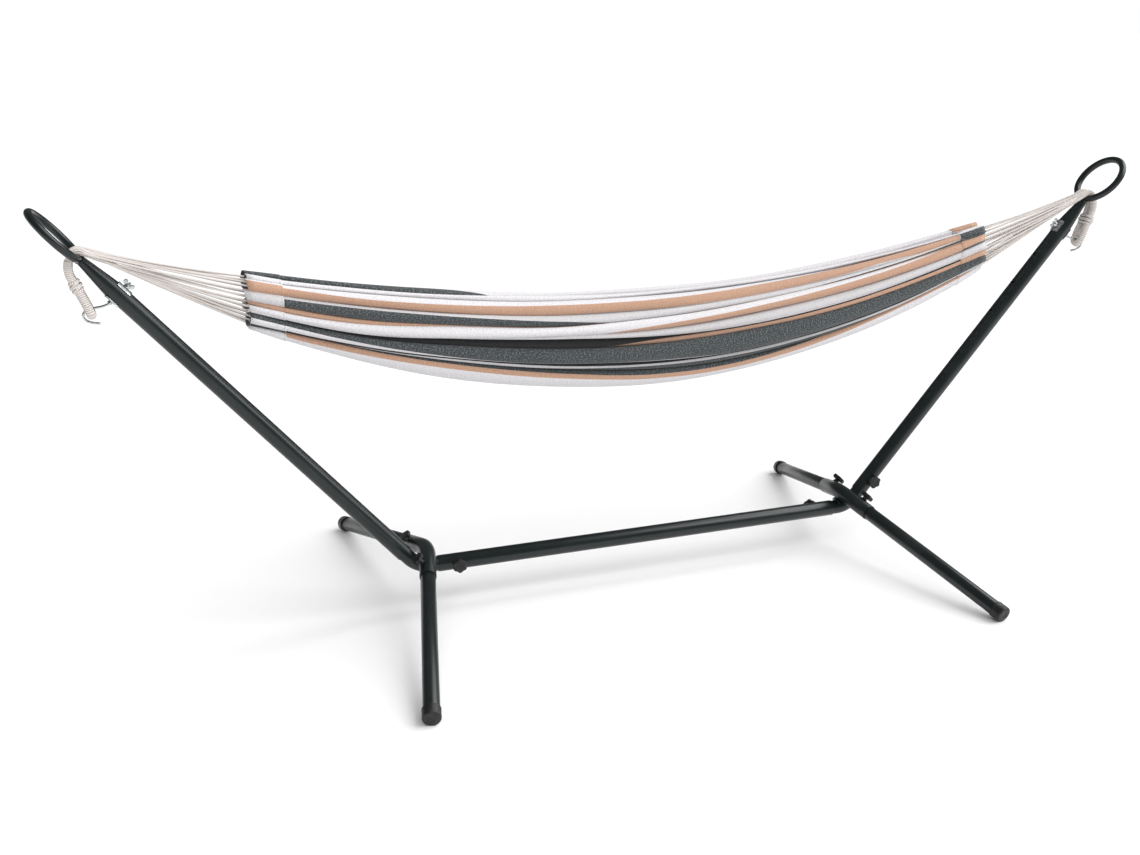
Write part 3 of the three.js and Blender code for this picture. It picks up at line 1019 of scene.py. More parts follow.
@dataclass
class Stand:
    """The beam and the two ends of the stand."""

    sizes: StandSizes
    shop: Workshop
    rim: float = 0.0004

    def _add_tube(self, name: str, bm: bmesh.types.BMesh, node: str) -> None:
        """Finishes an open tube surface as a painted tube with a wall and softened rims."""
        self.shop.add(name, bm, PAINT, node, wall=self.sizes.wall, rim=self.rim)

    def _straight(self, radius: float, length: float, place: Matrix) -> bmesh.types.BMesh:
        """The open outer surface of a straight tube along Z.

        Args:
            radius: its outer radius.
            length: its length.
            place: where it goes.

        Returns:
            The surface.
        """
        bm = bmesh.new()
        bmesh.ops.create_circle(bm, segments=48, radius=radius)
        out = bmesh.ops.extrude_edge_only(bm, edges=list(bm.edges))["geom"]
        bmesh.ops.translate(bm, vec=(0, 0, length), verts=verts_in(out))
        tidy(bm)
        turned_verts(bm, place)
        return bm

    def beam(self) -> None:
        """Makes the straight tube between the two ends."""
        sizes = self.sizes
        place = moved(-sizes.beam_half_length, 0, sizes.beam_height) @ about("Y", QUARTER)
        bm = self._straight(sizes.socket_radius, 2 * sizes.beam_half_length, place)
        self._add_tube("beam_tube", bm, "base_beam")

    def elbow(self, end: End) -> None:
        """Makes the bent spigot under the cross tube."""
        sizes = self.sizes
        tangent = sizes.elbow_bend_radius * math.tan(sizes.arm_tilt / 2)
        before = sizes.elbow_corner - sizes.beam_half_length + sizes.spigot_depth
        after = sizes.arm_start + sizes.spigot_depth
        place = moved(sizes.elbow_corner, 0, sizes.beam_height) @ about("X", QUARTER)
        bm = bent_tube(
            sizes.spigot_radius, (-before, 0, 0), (before - tangent, after - tangent), sizes.arm_tilt,
            sizes.elbow_bend_radius, place,
        )
        turned_verts(bm, end.turn)
        self._add_tube(f"elbow_{end.label}_tube", bm, f"elbow_{end.label}")

    def cross_tube(self, end: End) -> None:
        """Makes the bent tube that holds the two legs, with its welds."""
        sizes = self.sizes
        tangent = sizes.cross_bend_radius * math.tan(sizes.leg_angle)
        straight = sizes.cross_socket_length - tangent
        place = spread_frame(sizes) @ about("Z", QUARTER + sizes.leg_angle) @ about("X", math.pi)
        bm = bent_tube(
            sizes.socket_radius, (-sizes.cross_socket_length, 0, 0), (straight, straight),
            2 * sizes.leg_angle, sizes.cross_bend_radius, place,
        )
        turned_verts(bm, end.turn)
        self._add_tube(f"cross_tube_{end.label}_tube", bm, f"cross_tube_{end.label}")
        self._hub_welds(end)

    def _hub_welds(self, end: End) -> None:
        """Makes the weld beads between the cross tube and the elbow."""
        half = 0.016
        beads = []
        for x, height, radius in ((0.586, 0.1335, 0.0046), (0.6165, 0.1375, 0.0040)):
            line = []
            for y in (-half + 2 * half * i / 24 for i in range(25)):
                share = (y / half) ** 2
                line.append((x + 0.003 * share, y, height - 0.0065 * share))
            beads.append(bead(line, radius))
        welds = merged(beads)
        turned_verts(welds, end.turn)
        self.shop.add(f"hub_weld_{end.label}", welds, PAINT, body="stand")

    def leg(self, end: End, side: int) -> None:
        """Makes a leg and its foot cap.

        Args:
            end: the end of the stand.
            side: -1 or +1, the leg's side along Y before the end is turned.
        """
        sizes = self.sizes
        name = f"{end.label}_{end.side_name(side)}"
        frame = leg_frame(sizes, side)
        cap_face = 0.0034
        length = sizes.leg_reach - cap_face - sizes.gap - sizes.leg_start
        bm = self._straight(sizes.spigot_radius, length, frame @ moved(0, 0, sizes.leg_start))
        turned_verts(bm, end.turn)
        self._add_tube(f"leg_{name}_tube", bm, f"leg_{name}")
        bore, radius, sleeve = sizes.spigot_radius + sizes.gap, 0.0215, 0.030
        cap = spun([
            (0, -cap_face), (bore, -cap_face), (bore, -sleeve), (radius - 0.0008, -sleeve),
            (radius, 0.0009 - sleeve), (radius, 0.0042 - sleeve), (radius - 0.0004, 0.0048 - sleeve),
            (radius - 0.0002, -0.0045), (radius - 0.0009, -0.0022), (radius - 0.0024, -0.0007),
            (radius - 0.005, 0), (0.009, 0), (0.0082, -0.0008), (0, -0.0008),
        ], 48)
        turned_verts(cap, frame @ moved(0, 0, sizes.leg_reach))
        floor_clearance = 0.00002
        cut = bmesh.ops.bisect_plane(
            cap, geom=list(cap.verts) + list(cap.edges) + list(cap.faces), plane_co=(0, 0, floor_clearance),
            plane_no=(0, 0, 1), clear_inner=True,
        )["geom_cut"]
        bmesh.ops.edgenet_fill(cap, edges=edges_in(cut))
        turned_verts(cap, end.turn)
        self.shop.add(f"foot_cap_{name}_look", cap, PLASTIC, f"foot_cap_{name}")

    def _arm_radius(self, along: float) -> float:
        """The arm's outer radius at a distance from the elbow's corner."""
        sizes = self.sizes
        share = min(max((along - sizes.ring_seat + sizes.taper_length) / sizes.taper_length, 0), 1)
        eased = 0.7 * share + 0.3 * share * share * (3 - 2 * share)
        return sizes.socket_radius + (sizes.tip_radius - sizes.socket_radius) * eased

    def arm(self, end: End) -> None:
        """Makes the arm with its drilled holes, its swaged tip, the ring and the weld between them."""
        sizes = self.sizes
        frame = arm_frame(sizes)
        taper_start, taper_steps = sizes.ring_seat - sizes.taper_length, 14
        stops = [sizes.arm_start, taper_start]
        stops += [taper_start + sizes.taper_length * i / taper_steps for i in range(1, taper_steps)]
        stops.append(sizes.ring_seat - 0.004)
        path = [(0, 0, s) for s in stops]
        bm = swept(path, lambda along, angle: self._arm_radius(sizes.arm_start + along), 48, capped=False)
        holes = [
            moved(0, 0, sizes.hook_station - i * sizes.hole_pitch) @ about("Y", QUARTER)
            for i in range(sizes.spare_holes + 1)
        ]
        bm = drilled(bm, sizes.wall, holes, sizes.hole_radius)
        turned_verts(bm, end.turn @ frame)
        self.shop.add(f"arm_{end.label}_tube", bm, PAINT, f"arm_{end.label}")
        self._ring(end, frame)

    def _ring(self, end: End, frame: Matrix) -> None:
        """Makes the ring and its weld.

        Args:
            end: the end of the stand.
            frame: the arm's frame.
        """
        sizes = self.sizes
        bm = bmesh.new()
        bmesh.ops.create_circle(bm, segments=24, radius=sizes.ring_rod_radius, matrix=about("X", QUARTER))
        bmesh.ops.translate(bm, vec=(sizes.ring_radius, 0, 0), verts=bm.verts)
        bmesh.ops.spin(
            bm, geom=list(bm.verts) + list(bm.edges), cent=(0, 0, 0), axis=(0, 0, 1), angle=TAU, steps=96,
            use_merge=True,
        )
        tidy(bm)
        upright = moved(0, 0, sizes.ring_seat + sizes.ring_radius) @ about("Y", QUARTER)
        turned_verts(bm, end.turn @ frame @ upright)
        self.shop.add(f"ring_{end.label}_rod", bm, PAINT, f"ring_{end.label}")
        reach, rod = sizes.tip_radius - 0.0005, sizes.ring_rod_radius
        line = []
        for angle in (TAU * i / 60 for i in range(61)):
            x, y = reach * math.cos(angle), reach * math.sin(angle)
            drop = math.sqrt(max(rod**2 - x**2, (0.35 * rod) ** 2))
            line.append((x, y, sizes.ring_seat - drop))
        weld = bead(line, 0.0026)
        turned_verts(weld, end.turn @ frame)
        self.shop.add(f"ring_weld_{end.label}", weld, PAINT, body="stand")

    def clamps(self, end: End) -> None:
        """Makes the end's four clamps."""
        sizes = self.sizes
        clamp = Clamp(sizes)
        reach, angle = sizes.cross_knob_station, sizes.leg_angle
        for side in (-1, 1):
            spot = moved(reach * math.sin(angle), side * reach * math.cos(angle), 0)
            place = end.turn @ spread_frame(sizes) @ spot @ about("Z", QUARTER - side * angle)
            clamp.build(self.shop, f"cross_{end.label}_{end.side_name(side)}", place)
        up_arm = moved(0, 0, sizes.arm_knob_station) @ about("X", QUARTER) @ about("Z", QUARTER)
        clamp.build(self.shop, f"arm_{end.label}", end.turn @ arm_frame(sizes) @ up_arm)
        on_beam = moved(sizes.beam_knob_station, 0, sizes.beam_height) @ about("X", -QUARTER)
        clamp.build(self.shop, f"beam_{end.label}", end.turn @ on_beam)

    def build(self) -> None:
        """Makes the whole stand but for its hooks."""
        self.beam()
        for end in End:
            self.elbow(end)
            self.cross_tube(end)
            self.arm(end)
            self.clamps(end)
            for side in (-1, 1):
                self.leg(end, side)


# ---------------------------------------------------------------- hooks


@dataclass
class HookSet:
    """A zinc hook through the arm with its washers and nuts, built in the arm's frame about the bolt."""

    sizes: StandSizes
    shop: Workshop
    plate: float = 0.002
    plate_length: float = 0.036
    plate_half_angle: float = math.radians(42)
    thread: float = 0.001
    route: tuple[tuple[float, float], ...] = (
        (-0.038, 0), (-0.010, 0), (0.018, 0), (0.029, 0), (0.031, 0.0001), (0.043, 0.005), (0.054, 0.012),
        (0.066, 0.0185), (0.078, 0.022), (0.087, 0.018), (0.0895, 0.008), (0.085, -0.004), (0.073, -0.019),
    )

    @property
    def seat(self) -> float:
        """The outside of a saddle washer, from the arm's axis."""
        return self.sizes.socket_radius + self.sizes.gap + self.plate

    def hook(self) -> bmesh.types.BMesh:
        """The bent rod, threaded along its shank and chamfered at its tip."""
        sizes = self.sizes
        shank = self.seat + 0.038
        path = [(x, 0, 0) for x in (self.route[0][0] + shank * i / 360 for i in range(361))]
        bend = [(x, 0, y) for x, y in self.route if x > path[-1][0] + 0.002 or y]
        tail = spline([path[-1], *bend], 8)[1:]
        rod, tip = sizes.hook_rod_radius, 0.0012
        bent = sum((b - a).length for a, b in zip(tail, tail[1:]))
        total = shank + bent + (tail[0] - Vector(path[-1])).length

        def radius(along: float, angle: float) -> float:
            """The rod's radius, with its thread and the chamfers at both ends."""
            cut = 0.0004 * thread_share(along, angle, self.thread) if along < shank else 0.0
            return max(rod - cut - max(tip - along, 0) - 0.8 * max(along - total + tip, 0), 0.0012)

        return swept([*path, *tail], radius, 16)

    def saddle(self, side: int) -> bmesh.types.BMesh:
        """A curved plate washer on one side of the arm, as an open sheet."""
        bm = bmesh.new()
        half = self.plate_length / 2
        ends = [bm.verts.new((self.seat, 0, h)) for h in (-half, half)]
        edge = bm.edges.new(ends)
        bmesh.ops.subdivide_edges(bm, edges=[edge], cuts=5)
        turned_verts(bm, about("Z", -self.plate_half_angle))
        bmesh.ops.spin(
            bm, geom=list(bm.verts) + list(bm.edges), cent=(0, 0, 0), axis=(0, 0, 1),
            angle=2 * self.plate_half_angle, steps=24,
        )
        tidy(bm)
        corners = [v for v in bm.verts if len(v.link_edges) == 2]
        bmesh.ops.bevel(
            bm, geom=corners, offset=0.0045, segments=4, profile=0.5, affect="VERTICES", material=-1
        )
        for face in bm.faces:
            middle = face.calc_center_median()
            if face.normal.dot(Vector((middle.x, middle.y, 0))) < 0:
                face.normal_flip()
        if side < 0:
            turned_verts(bm, about("Z", math.pi))
        return bm

    def nut(self) -> bmesh.types.BMesh:
        """The hexagon nut against the lower washer."""
        bm = bmesh.new()
        bmesh.ops.create_circle(bm, cap_ends=True, segments=6, radius=0.0058)
        out = bmesh.ops.extrude_face_region(bm, geom=list(bm.faces))["geom"]
        bmesh.ops.translate(bm, vec=(0, 0, 0.005), verts=verts_in(out))
        bmesh.ops.recalc_face_normals(bm, faces=bm.faces)
        bmesh.ops.bevel(
            bm, geom=list(bm.edges), offset=0.0005, segments=2, profile=0.5, affect="EDGES", material=-1
        )
        turned_verts(bm, moved(self.seat + self.sizes.gap, 0, 0) @ about("Y", QUARTER))
        return bm

    def wing_nut(self) -> bmesh.types.BMesh:
        """The wing nut on the arm's inner side."""
        bore, top = 0.0034, 0.0084
        body = spun([
            (bore, 0), (0.0070, 0), (0.0072, 0.0006), (0.0068, 0.0030), (0.0052, 0.0078), (0.0046, top),
            (bore, top), (bore, 0),
        ], 36)
        parts = [body]
        thick, offset, splay = 0.0024, 0.0088, math.radians(38)
        for side in (-1, 1):
            ear = disc([0.0052 + 0.0012 * math.cos(TAU * i / 36) ** 2 for i in range(36)], thick, 0.0008)
            turned_verts(ear, moved(0, 0, -thick / 2))
            turned_verts(ear, about("X", QUARTER))
            turned_verts(ear, moved(side * offset, 0, offset) @ about("Y", side * splay))
            parts.append(ear)
        bm = merged(parts)
        away = moved(-self.seat - self.sizes.gap, 0, 0)
        turned_verts(bm, away @ about("Y", -QUARTER))
        return bm

    def build(self, end: End) -> None:
        """Makes one end's hook set."""
        place = end.turn @ arm_frame(self.sizes) @ moved(0, 0, self.sizes.hook_station)
        for kind, bm, wall in (
            ("hook", self.hook(), 0), ("hook_nut", self.nut(), 0), ("wing_nut", self.wing_nut(), 0),
            ("saddle_lower", self.saddle(1), self.plate), ("saddle_upper", self.saddle(-1), self.plate),
        ):
            turned_verts(bm, place)
            rim = 0.0005 if wall else 0.0
            self.shop.add(f"{kind}_{end.label}_look", bm, ZINC, f"{kind}_{end.label}", wall=wall, rim=rim)


# ---------------------------------------------------------------- the gathered bed


@dataclass(frozen=True)
class Fold:
    """One lengthwise fold of the gathered cloth.

    Places are in tenths of the bundle's height below its top, at the nine stations from the left end
    of the cloth to the right one.

    Attributes:
        top: where its upper crease lies.
        mark: a stripe's edge that shows on it or lines up with it, in metres across the cloth.
        mark_at: where that edge lies.
        crease: how deep the crease after it goes in.
        proud: how far it stands out of the bundle, at the left end, the middle and the right end.
        hem_slip: how far its hem is sewn out of line with it, at the left end and the right.
    """

    top: tuple[float, ...]
    mark: float
    mark_at: tuple[float, ...]
    crease: float = 0.036
    proud: tuple[float, ...] = (0.0, 0.0, 0.0)
    hem_slip: tuple[float, float] = (0.0, 0.0)


@dataclass(frozen=True)
class BackFold:
    """One lengthwise fold on the bundle's back.

    Attributes:
        low: where its lower crease lies, as a share of the bundle's height below its top.
        mark: the place across the cloth at that crease, in metres.
        crease: how deep the crease after it goes in.
    """

    low: float
    mark: float
    crease: float


@dataclass(frozen=True)
class BackLip:
    """The last fold on the back, which ends at the back lip and shows above the front one.

    Attributes:
        low: where its lower crease lies, as a share of the bundle's height below its top.
        mark: the place across the cloth at the lip, in metres, at even stations from left to right.
        proud: how far it stands out, at even stations from left to right.
        hem_slip: how far its right-hand hem is sewn out of line with it.
    """

    low: float
    mark: tuple[float, ...]
    proud: tuple[float, ...]
    hem_slip: float


@dataclass(frozen=True)
class LaidFold:
    """A fold as it lies at one place along the stand.

    Attributes:
        start: the length along the bundle's outline up to it.
        offset: the place across the cloth less the length along the outline.
        crease: how deep the crease after it goes in.
        proud: how far it stands out.
    """

    start: float
    offset: float
    crease: float
    proud: float


FRONT_FOLDS = (
    Fold(
        (-0.50,) * 9, 0.060, (-0.70,) * 9,
        crease=0.022, proud=(0.001, 0.000, 0.005), hem_slip=(0.0, 0.128),
    ),
    Fold(
        (0.30, 0.28, 0.25, 0.20, 0.15, 0.10, 0.10, 0.10, 0.10), 0.200,
        (0.62, 0.82, 0.72, 0.62, 0.50, 0.33, 0.15, -0.10, -0.20),
        crease=0.036, proud=(0.005, 0.004, 0.003), hem_slip=(0.004, 0.098),
    ),
    Fold(
        (2.30, 1.88, 1.72, 1.65, 1.47, 1.38, 1.15, 0.88, 0.65), 0.300,
        (2.40, 2.02, 1.92, 2.10, 2.45, 1.95, 1.33, 0.95, 0.50),
        crease=0.038, proud=(0.003, -0.002, -0.005), hem_slip=(-0.022, 0.004),
    ),
    Fold(
        (3.95, 3.82, 3.10, 2.87, 2.30, 1.90, 1.60, 1.38, 1.20), 0.350,
        (3.85, 3.72, 3.00, 2.77, 2.20, 1.80, 1.50, 1.28, 1.10),
        crease=0.030, proud=(-0.008, -0.010, -0.008), hem_slip=(0.018, 0.0),
    ),
    Fold(
        (5.05, 4.50, 3.22, 2.95, 2.38, 1.98, 1.68, 1.44, 1.26), 0.490,
        (6.30, 5.90, 4.75, 3.98, 2.95, 2.38, 1.98, 1.60, 0.85),
        crease=0.044, proud=(0.003, 0.006, 0.005), hem_slip=(-0.012, 0.005),
    ),
    Fold(
        (6.00, 5.66, 4.50, 3.85, 3.45, 3.15, 2.98, 2.90, 3.05), 0.585,
        (6.00, 5.66, 4.50, 3.85, 3.45, 3.15, 2.98, 2.90, 3.05),
        crease=0.042, proud=(-0.004, -0.002, -0.003), hem_slip=(0.0, 0.010),
    ),
    Fold(
        (6.07, 5.72, 4.56, 4.12, 4.32, 4.40, 4.45, 4.50, 4.70), 0.700,
        (6.40, 6.35, 5.75, 5.40, 4.50, 4.42, 4.42, 4.45, 4.60),
        crease=0.044, proud=(-0.014, -0.012, -0.007), hem_slip=(0.0, 0.006),
    ),
    Fold(
        (6.20, 6.22, 5.58, 5.32, 5.15, 5.06, 5.10, 5.30, 5.75), 0.830,
        (6.85, 6.70, 6.68, 6.68, 6.76, 7.00, 7.20, 7.30, 7.30),
        crease=0.036, proud=(0.002, 0.004, 0.005), hem_slip=(0.000, -0.004),
    ),
    Fold(
        (8.30, 7.55, 7.00, 6.95, 7.05, 7.28, 7.40, 7.40, 7.10), 0.912,
        (8.42, 7.70, 7.10, 7.12, 7.28, 7.42, 7.50, 7.50, 7.20),
        crease=0.034, proud=(-0.010, -0.010, -0.011), hem_slip=(0.010, 0.0),
    ),
    Fold(
        (8.50, 7.85, 7.45, 7.75, 8.20, 8.45, 8.45, 8.10, 7.80), 1.020,
        (8.90, 8.45, 8.15, 8.35, 8.85, 9.00, 8.75, 8.25, 8.10),
        crease=0.020, proud=(0.0, 0.0, 0.0), hem_slip=(0.006, 0.0),
    ),
)
BACK_FOLDS = (
    BackFold(1.00, 1.100, 0.026), BackFold(0.86, 1.170, 0.030), BackFold(0.66, 1.235, 0.034),
    BackFold(0.47, 1.300, 0.036), BackFold(0.27, 1.370, 0.034),
)
BACK_LIP = BackLip(
    low=0.10,
    mark=(1.462, 1.456, 1.440, 1.412, 1.401, 1.396, 1.388, 1.385, 1.385),
    proud=(0.010, 0.007, 0.001, 0.003, 0.011),
    hem_slip=-0.185,
)
# Where each stripe starts, in metres across the cloth, and its yarn. The near-black stripes at 0.640 and
# 0.870 are painted shade for deep grooves between folds, not yarn.
STRIPES = (
    (0.0, Yarn.CHARCOAL), (0.060, Yarn.TAN), (0.0625, Yarn.WHITE), (0.200, Yarn.TAN), (0.228, Yarn.ECRU),
    (0.300, Yarn.CHARCOAL), (0.340, Yarn.TAN), (0.400, Yarn.WHITE), (0.490, Yarn.TAN),
    (0.514, Yarn.CHARCOAL), (0.540, Yarn.ECRU), (0.605, Yarn.WHITE), (0.640, Yarn.BLACK),
    (0.700, Yarn.TAN), (0.735, Yarn.CHARCOAL), (0.830, Yarn.WHITE), (0.870, Yarn.BLACK),
    (0.912, Yarn.ECRU), (0.916, Yarn.CHARCOAL), (1.008, Yarn.TAN), (1.020, Yarn.WHITE),
    (1.085, Yarn.CHARCOAL), (1.150, Yarn.WHITE), (1.185, Yarn.TAN), (1.240, Yarn.ECRU),
    (1.270, Yarn.CHARCOAL), (1.335, Yarn.WHITE), (1.395, Yarn.TAN), (1.400, Yarn.WHITE),
    (1.425, Yarn.CHARCOAL),
)


def keyed(values: Sequence[float], t: float) -> float:
    """A smooth value through evenly spaced stations.

    Args:
        values: the value at each station, from t = -1 to t = 1.
        t: where it is wanted.

    Returns:
        The value there.
    """
    spot = min(max((t + 1) / 2 * (len(values) - 1), 0.0), len(values) - 1 - 1e-9)
    i = int(spot)
    f = spot - i
    a, b, c, d = (values[min(max(i + k, 0), len(values) - 1)] for k in (-1, 0, 1, 2))
    return b + 0.5 * f * (c - a + f * (2 * a - 5 * b + 4 * c - d + f * (3 * (b - c) + d - a)))


@dataclass
class Outline:
    """The bundle's outside at one place along the stand, from its front lip, under it, to its back lip."""

    points: list[Vector]
    lengths: list[float] = field(init=False)

    def __post_init__(self) -> None:
        """Measures the length up to each point."""
        self.lengths = [0.0]
        for a, b in zip(self.points, self.points[1:]):
            self.lengths.append(self.lengths[-1] + (b - a).length)

    @property
    def total(self) -> float:
        """The whole length."""
        return self.lengths[-1]

    def at_depth(self, share: float, front: bool) -> float:
        """The length up to where the outline is at a share of its height below its top.

        Args:
            share: 0 at the top and 1 at the bottom.
            front: whether to look on the front or on the back.

        Returns:
            The length.
        """
        half = len(self.points) // 2
        run = list(range(half + 1) if front else range(len(self.points) - 1, half - 1, -1))
        top, bottom = self.points[run[0]].y, self.points[run[-1]].y
        if share < 0:
            return self.lengths[run[0]] + share * (top - bottom) * (1 if front else -1)
        height = top + (bottom - top) * share
        for a, b in zip(run, run[1:]):
            high, low = self.points[a].y, self.points[b].y
            if low <= height:
                part = (high - height) / max(high - low, 1e-9)
                return self.lengths[a] + (self.lengths[b] - self.lengths[a]) * min(max(part, 0.0), 1.0)
        return self.lengths[run[-1]]

    def place(self, a: float, out: float) -> Vector:
        """A point at a length along the outline and a distance out from it.

        Args:
            a: the length along it.
            out: the distance outwards, negative for inwards.

        Returns:
            The point across the stand.
        """
        a = min(max(a, 0.0), self.total)
        index = min(bisect.bisect_right(self.lengths, a) - 1, len(self.points) - 2)
        run = self.points[index + 1] - self.points[index]
        reach = 5  # points on each side that the tangent is taken over
        before = self.points[max(index - reach, 0)]
        after = self.points[min(index + reach + 1, len(self.points) - 1)]
        tangent = (after - before).normalized()
        spot = self.points[index] + run * ((a - self.lengths[index]) / max(run.length, 1e-9))
        return spot + Vector((tangent.y, -tangent.x)) * out


@dataclass
class Bed:
    """The cloth: one sheet gathered into lengthwise folds, open along the top.

    Attributes:
        shop: where pieces are finished.
        half_length: half the length that the bundle's shape is drawn for.
        reach: how far the cloth itself goes each way.
        low, rise: the bundle's height in the middle, and how much higher its ends are.
        belly: how much wider the bundle is in the middle than at its ends.
        hem, hem_step, pucker: the hem's length along the cloth, its step and its puckers.
        opening: how far each lip comes round towards the other.
        inner_flap: how far the cloth goes down inside each lip.
        lip_gap: half the gap between a crease's two walls.
        lean: how far a crease leans over, as a share of its depth.
        end_flare, flare_share, flare_swell: how far the folds spread at the ends, over what share of the
            length, and how much rounder that makes them.
        crown, crown_most, crown_lean: how far a fold's top stands up, as a share of its width, the most
            that it does, and how far it leans.
        tuck_depth, tuck_from: the depth over which a crease is darkened with painted shade, and the share
            of it that it starts at.
        per_fold, per_wall, rows: points over a fold, points down a crease's wall, and rows of the sheet.
    """

    shop: Workshop
    flat_width: float = 1.50
    flat_length: float = 2.02
    half_length: float = 1.000
    reach: float = 0.983
    low: float = 0.660
    rise: float = 0.168
    end_half_height: float = 0.062
    end_half_width: float = 0.034
    belly: float = 0.052
    cloth: float = 0.0013
    hem: float = 0.076
    hem_step: float = 0.0016
    wrinkle: float = 0.00035
    pucker: float = 0.0012
    opening: float = math.radians(80)
    inner_flap: float = 0.050
    lip_gap: float = 0.0030
    lean: float = 0.50
    end_flare: float = 0.006
    flare_share: float = 0.07
    flare_swell: float = 12.0
    crown: float = 0.46
    crown_most: float = 0.019
    crown_lean: float = 0.10
    tuck_depth: float = 0.017
    tuck_from: float = 0.35
    per_fold: int = 12
    per_wall: int = 4
    rows: int = 104

    def section_size(self, x: float) -> tuple[float, float, float]:
        """The bundle's middle height, half height and half width at a distance along the stand."""
        share = (x / self.half_length) ** 2
        return (
            self.low + self.rise * share,
            self.end_half_height * (2 - share),
            self.end_half_width + self.belly * (1 - share),
        )

    def outline(self, x: float) -> Outline:
        """The bundle's outside at a distance along the stand."""
        middle, tall, wide = self.section_size(x)
        count = 240
        points = []
        for i in range(count + 1):
            angle = -self.opening + (math.pi + 2 * self.opening) * i / count
            c, s = math.cos(angle), math.sin(angle)
            y = -wide * math.copysign(abs(c) ** 0.72, c)
            points.append(Vector((y, middle - tall * math.copysign(abs(s) ** 0.9, s))))
        return Outline(points)

    def slimness(self, x: float) -> float:
        """The bundle's width at a distance along the stand, as a share of its width in the middle."""
        return self.section_size(x)[2] / self.section_size(0)[2]

    def flare(self, x: float) -> float:
        """How far the folds spread at the sewn ends."""
        from_middle = abs(x) / self.reach - (1 - self.flare_share)
        return self.end_flare * max(0.0, from_middle / self.flare_share)

    def _laid_folds(self, outline: Outline, x: float) -> list[LaidFold]:
        """Where the folds lie at one place along the stand.

        Args:
            outline: the bundle's outside there.
            x: the distance along the stand.

        Returns:
            The folds, from the front lip to the back one.
        """
        t = x / self.half_length
        scale, flare = self.slimness(x), self.flare(x)
        right, in_hem = x > 0, abs(x) > self.reach - self.hem
        folds = []
        for number, fold in enumerate(FRONT_FOLDS):
            start = max(outline.at_depth(keyed(fold.top, t) / 10, True), 0.0)
            mark = outline.at_depth(keyed(fold.mark_at, t) / 10, True)
            slip = fold.hem_slip[right] if in_hem else 0.0
            spread = flare * math.sin(5.3 * number + (1.6 if right else 2.0))
            proud = keyed(fold.proud, t) * scale + spread
            folds.append(LaidFold(start, fold.mark - mark + slip, fold.crease * scale, proud))
        for number, fold in enumerate(BACK_FOLDS):
            sway = 0.035 * math.sin(2.6 * t + 1.7 * number) if number else 0.0
            start = outline.at_depth(fold.low + sway, False)
            slip = 0.012 * math.sin(5 * number + t) if in_hem else 0.0
            shift = 0.012 * math.sin(1.9 * t + 2.3 * number)
            proud = 0.004 * math.sin(3 * number + 1.5 * t) * scale + flare * math.sin(4.1 * number)
            folds.append(LaidFold(start, fold.mark - start + slip + shift, fold.crease * scale, proud))
        sway = 0.035 * math.sin(2.6 * t + 1.7 * len(BACK_FOLDS))
        start = outline.at_depth(BACK_LIP.low + sway, False)
        slip = BACK_LIP.hem_slip if in_hem and right else 0.0
        offset = keyed(BACK_LIP.mark, t) - outline.total + slip
        folds.append(LaidFold(start, offset, 0.0, keyed(BACK_LIP.proud, t)))
        return folds

    def section(self, x: float) -> tuple[list[Vector], list[float], list[float]]:
        """The folded cloth's own line across the stand.

        Args:
            x: the distance along the stand.

        Returns:
            Its points, the same number at every x, the place across the cloth of each, in metres, and
            how deep in a crease each is, from 0 to 1.
        """
        outline = self.outline(x)
        scale, flare = self.slimness(x), self.flare(x)
        folds = self._laid_folds(outline, x)
        starts = [*(fold.start for fold in folds), outline.total]
        flat: list[tuple[float, float]] = []
        across: list[float] = []
        down = [i / self.per_wall for i in range(1, self.per_wall + 1)]
        gap = self.lip_gap * (0.5 + 0.5 * scale)
        flap = self.inner_flap * scale
        for index, fold in enumerate(folds):
            start, finish = starts[index], starts[index + 1]
            width = max(finish - start, 0.0004)
            bulge = min((self.crown + self.flare_swell * flare) * width, self.crown_most + flare)
            base = fold.proud - bulge
            if index == 0:
                lip = max(start + fold.offset, 0.008)
                flat += [(start + gap, base - flap * (1 - i / self.per_wall)) for i in range(self.per_wall)]
                across += [lip * i / self.per_wall for i in range(self.per_wall)]
            side = 1 - 2 * (start + width / 2) / outline.total
            for i in range(self.per_fold):
                angle = math.pi * (i + 0.5) / self.per_fold
                swell = math.sin(angle) ** 1.2
                a = start + width * (0.5 - 0.5 * math.cos(angle))
                flat.append((a + side * self.crown_lean * width * swell, base + bulge * swell))
                across.append(a + fold.offset)
            here = finish + fold.offset
            if index == len(folds) - 1:
                flat += [(finish - gap, base - flap * d) for d in down]
                across += [here + (self.flat_width - here) * d for d in down]
                continue
            after = folds[index + 1]
            inner = after.proud - min(self.crown * max(starts[index + 2] - finish, 0), self.crown_most)
            slant = -self.lean * fold.crease * side
            floor = min(base, inner) - fold.crease
            there = finish + after.offset
            flat += [(finish - gap + slant * d, base + (floor - base) * d) for d in down]
            flat.append((finish + slant * 1.06, floor - 0.04 * fold.crease))
            flat += [(finish + gap + slant * d, inner + (floor - inner) * d) for d in reversed(down)]
            count = 2 * self.per_wall + 1
            across += [here + (there - here) * (i + 1) / (count + 1) for i in range(count)]
        shallow = self.tuck_from * self.tuck_depth
        tucked = [min(max((-out - shallow) / self.tuck_depth, 0.0), 1.0) for _, out in flat]
        return [outline.place(a, out) for a, out in flat], across, tucked

    def stations(self) -> list[float]:
        """The rows along the stand, close together at the hems' edges."""
        even = [-1 + 2 * i / self.rows for i in range(self.rows + 1)]
        step = 1 - self.hem / self.reach
        edges = [side * (step + shift) for side in (-1, 1) for shift in (-0.0008, 0.0008)]
        kept = [t for t in even if abs(abs(t) - step) >= 0.004]
        return sorted(self.reach * t for t in kept + edges)

    def ragged(self, column: float) -> float:
        """How far the cloth's end stands out at a share of the way across it."""
        return 0.006 * math.sin(31 * column) + 0.004 * math.sin(77 * column + 1) - 0.003

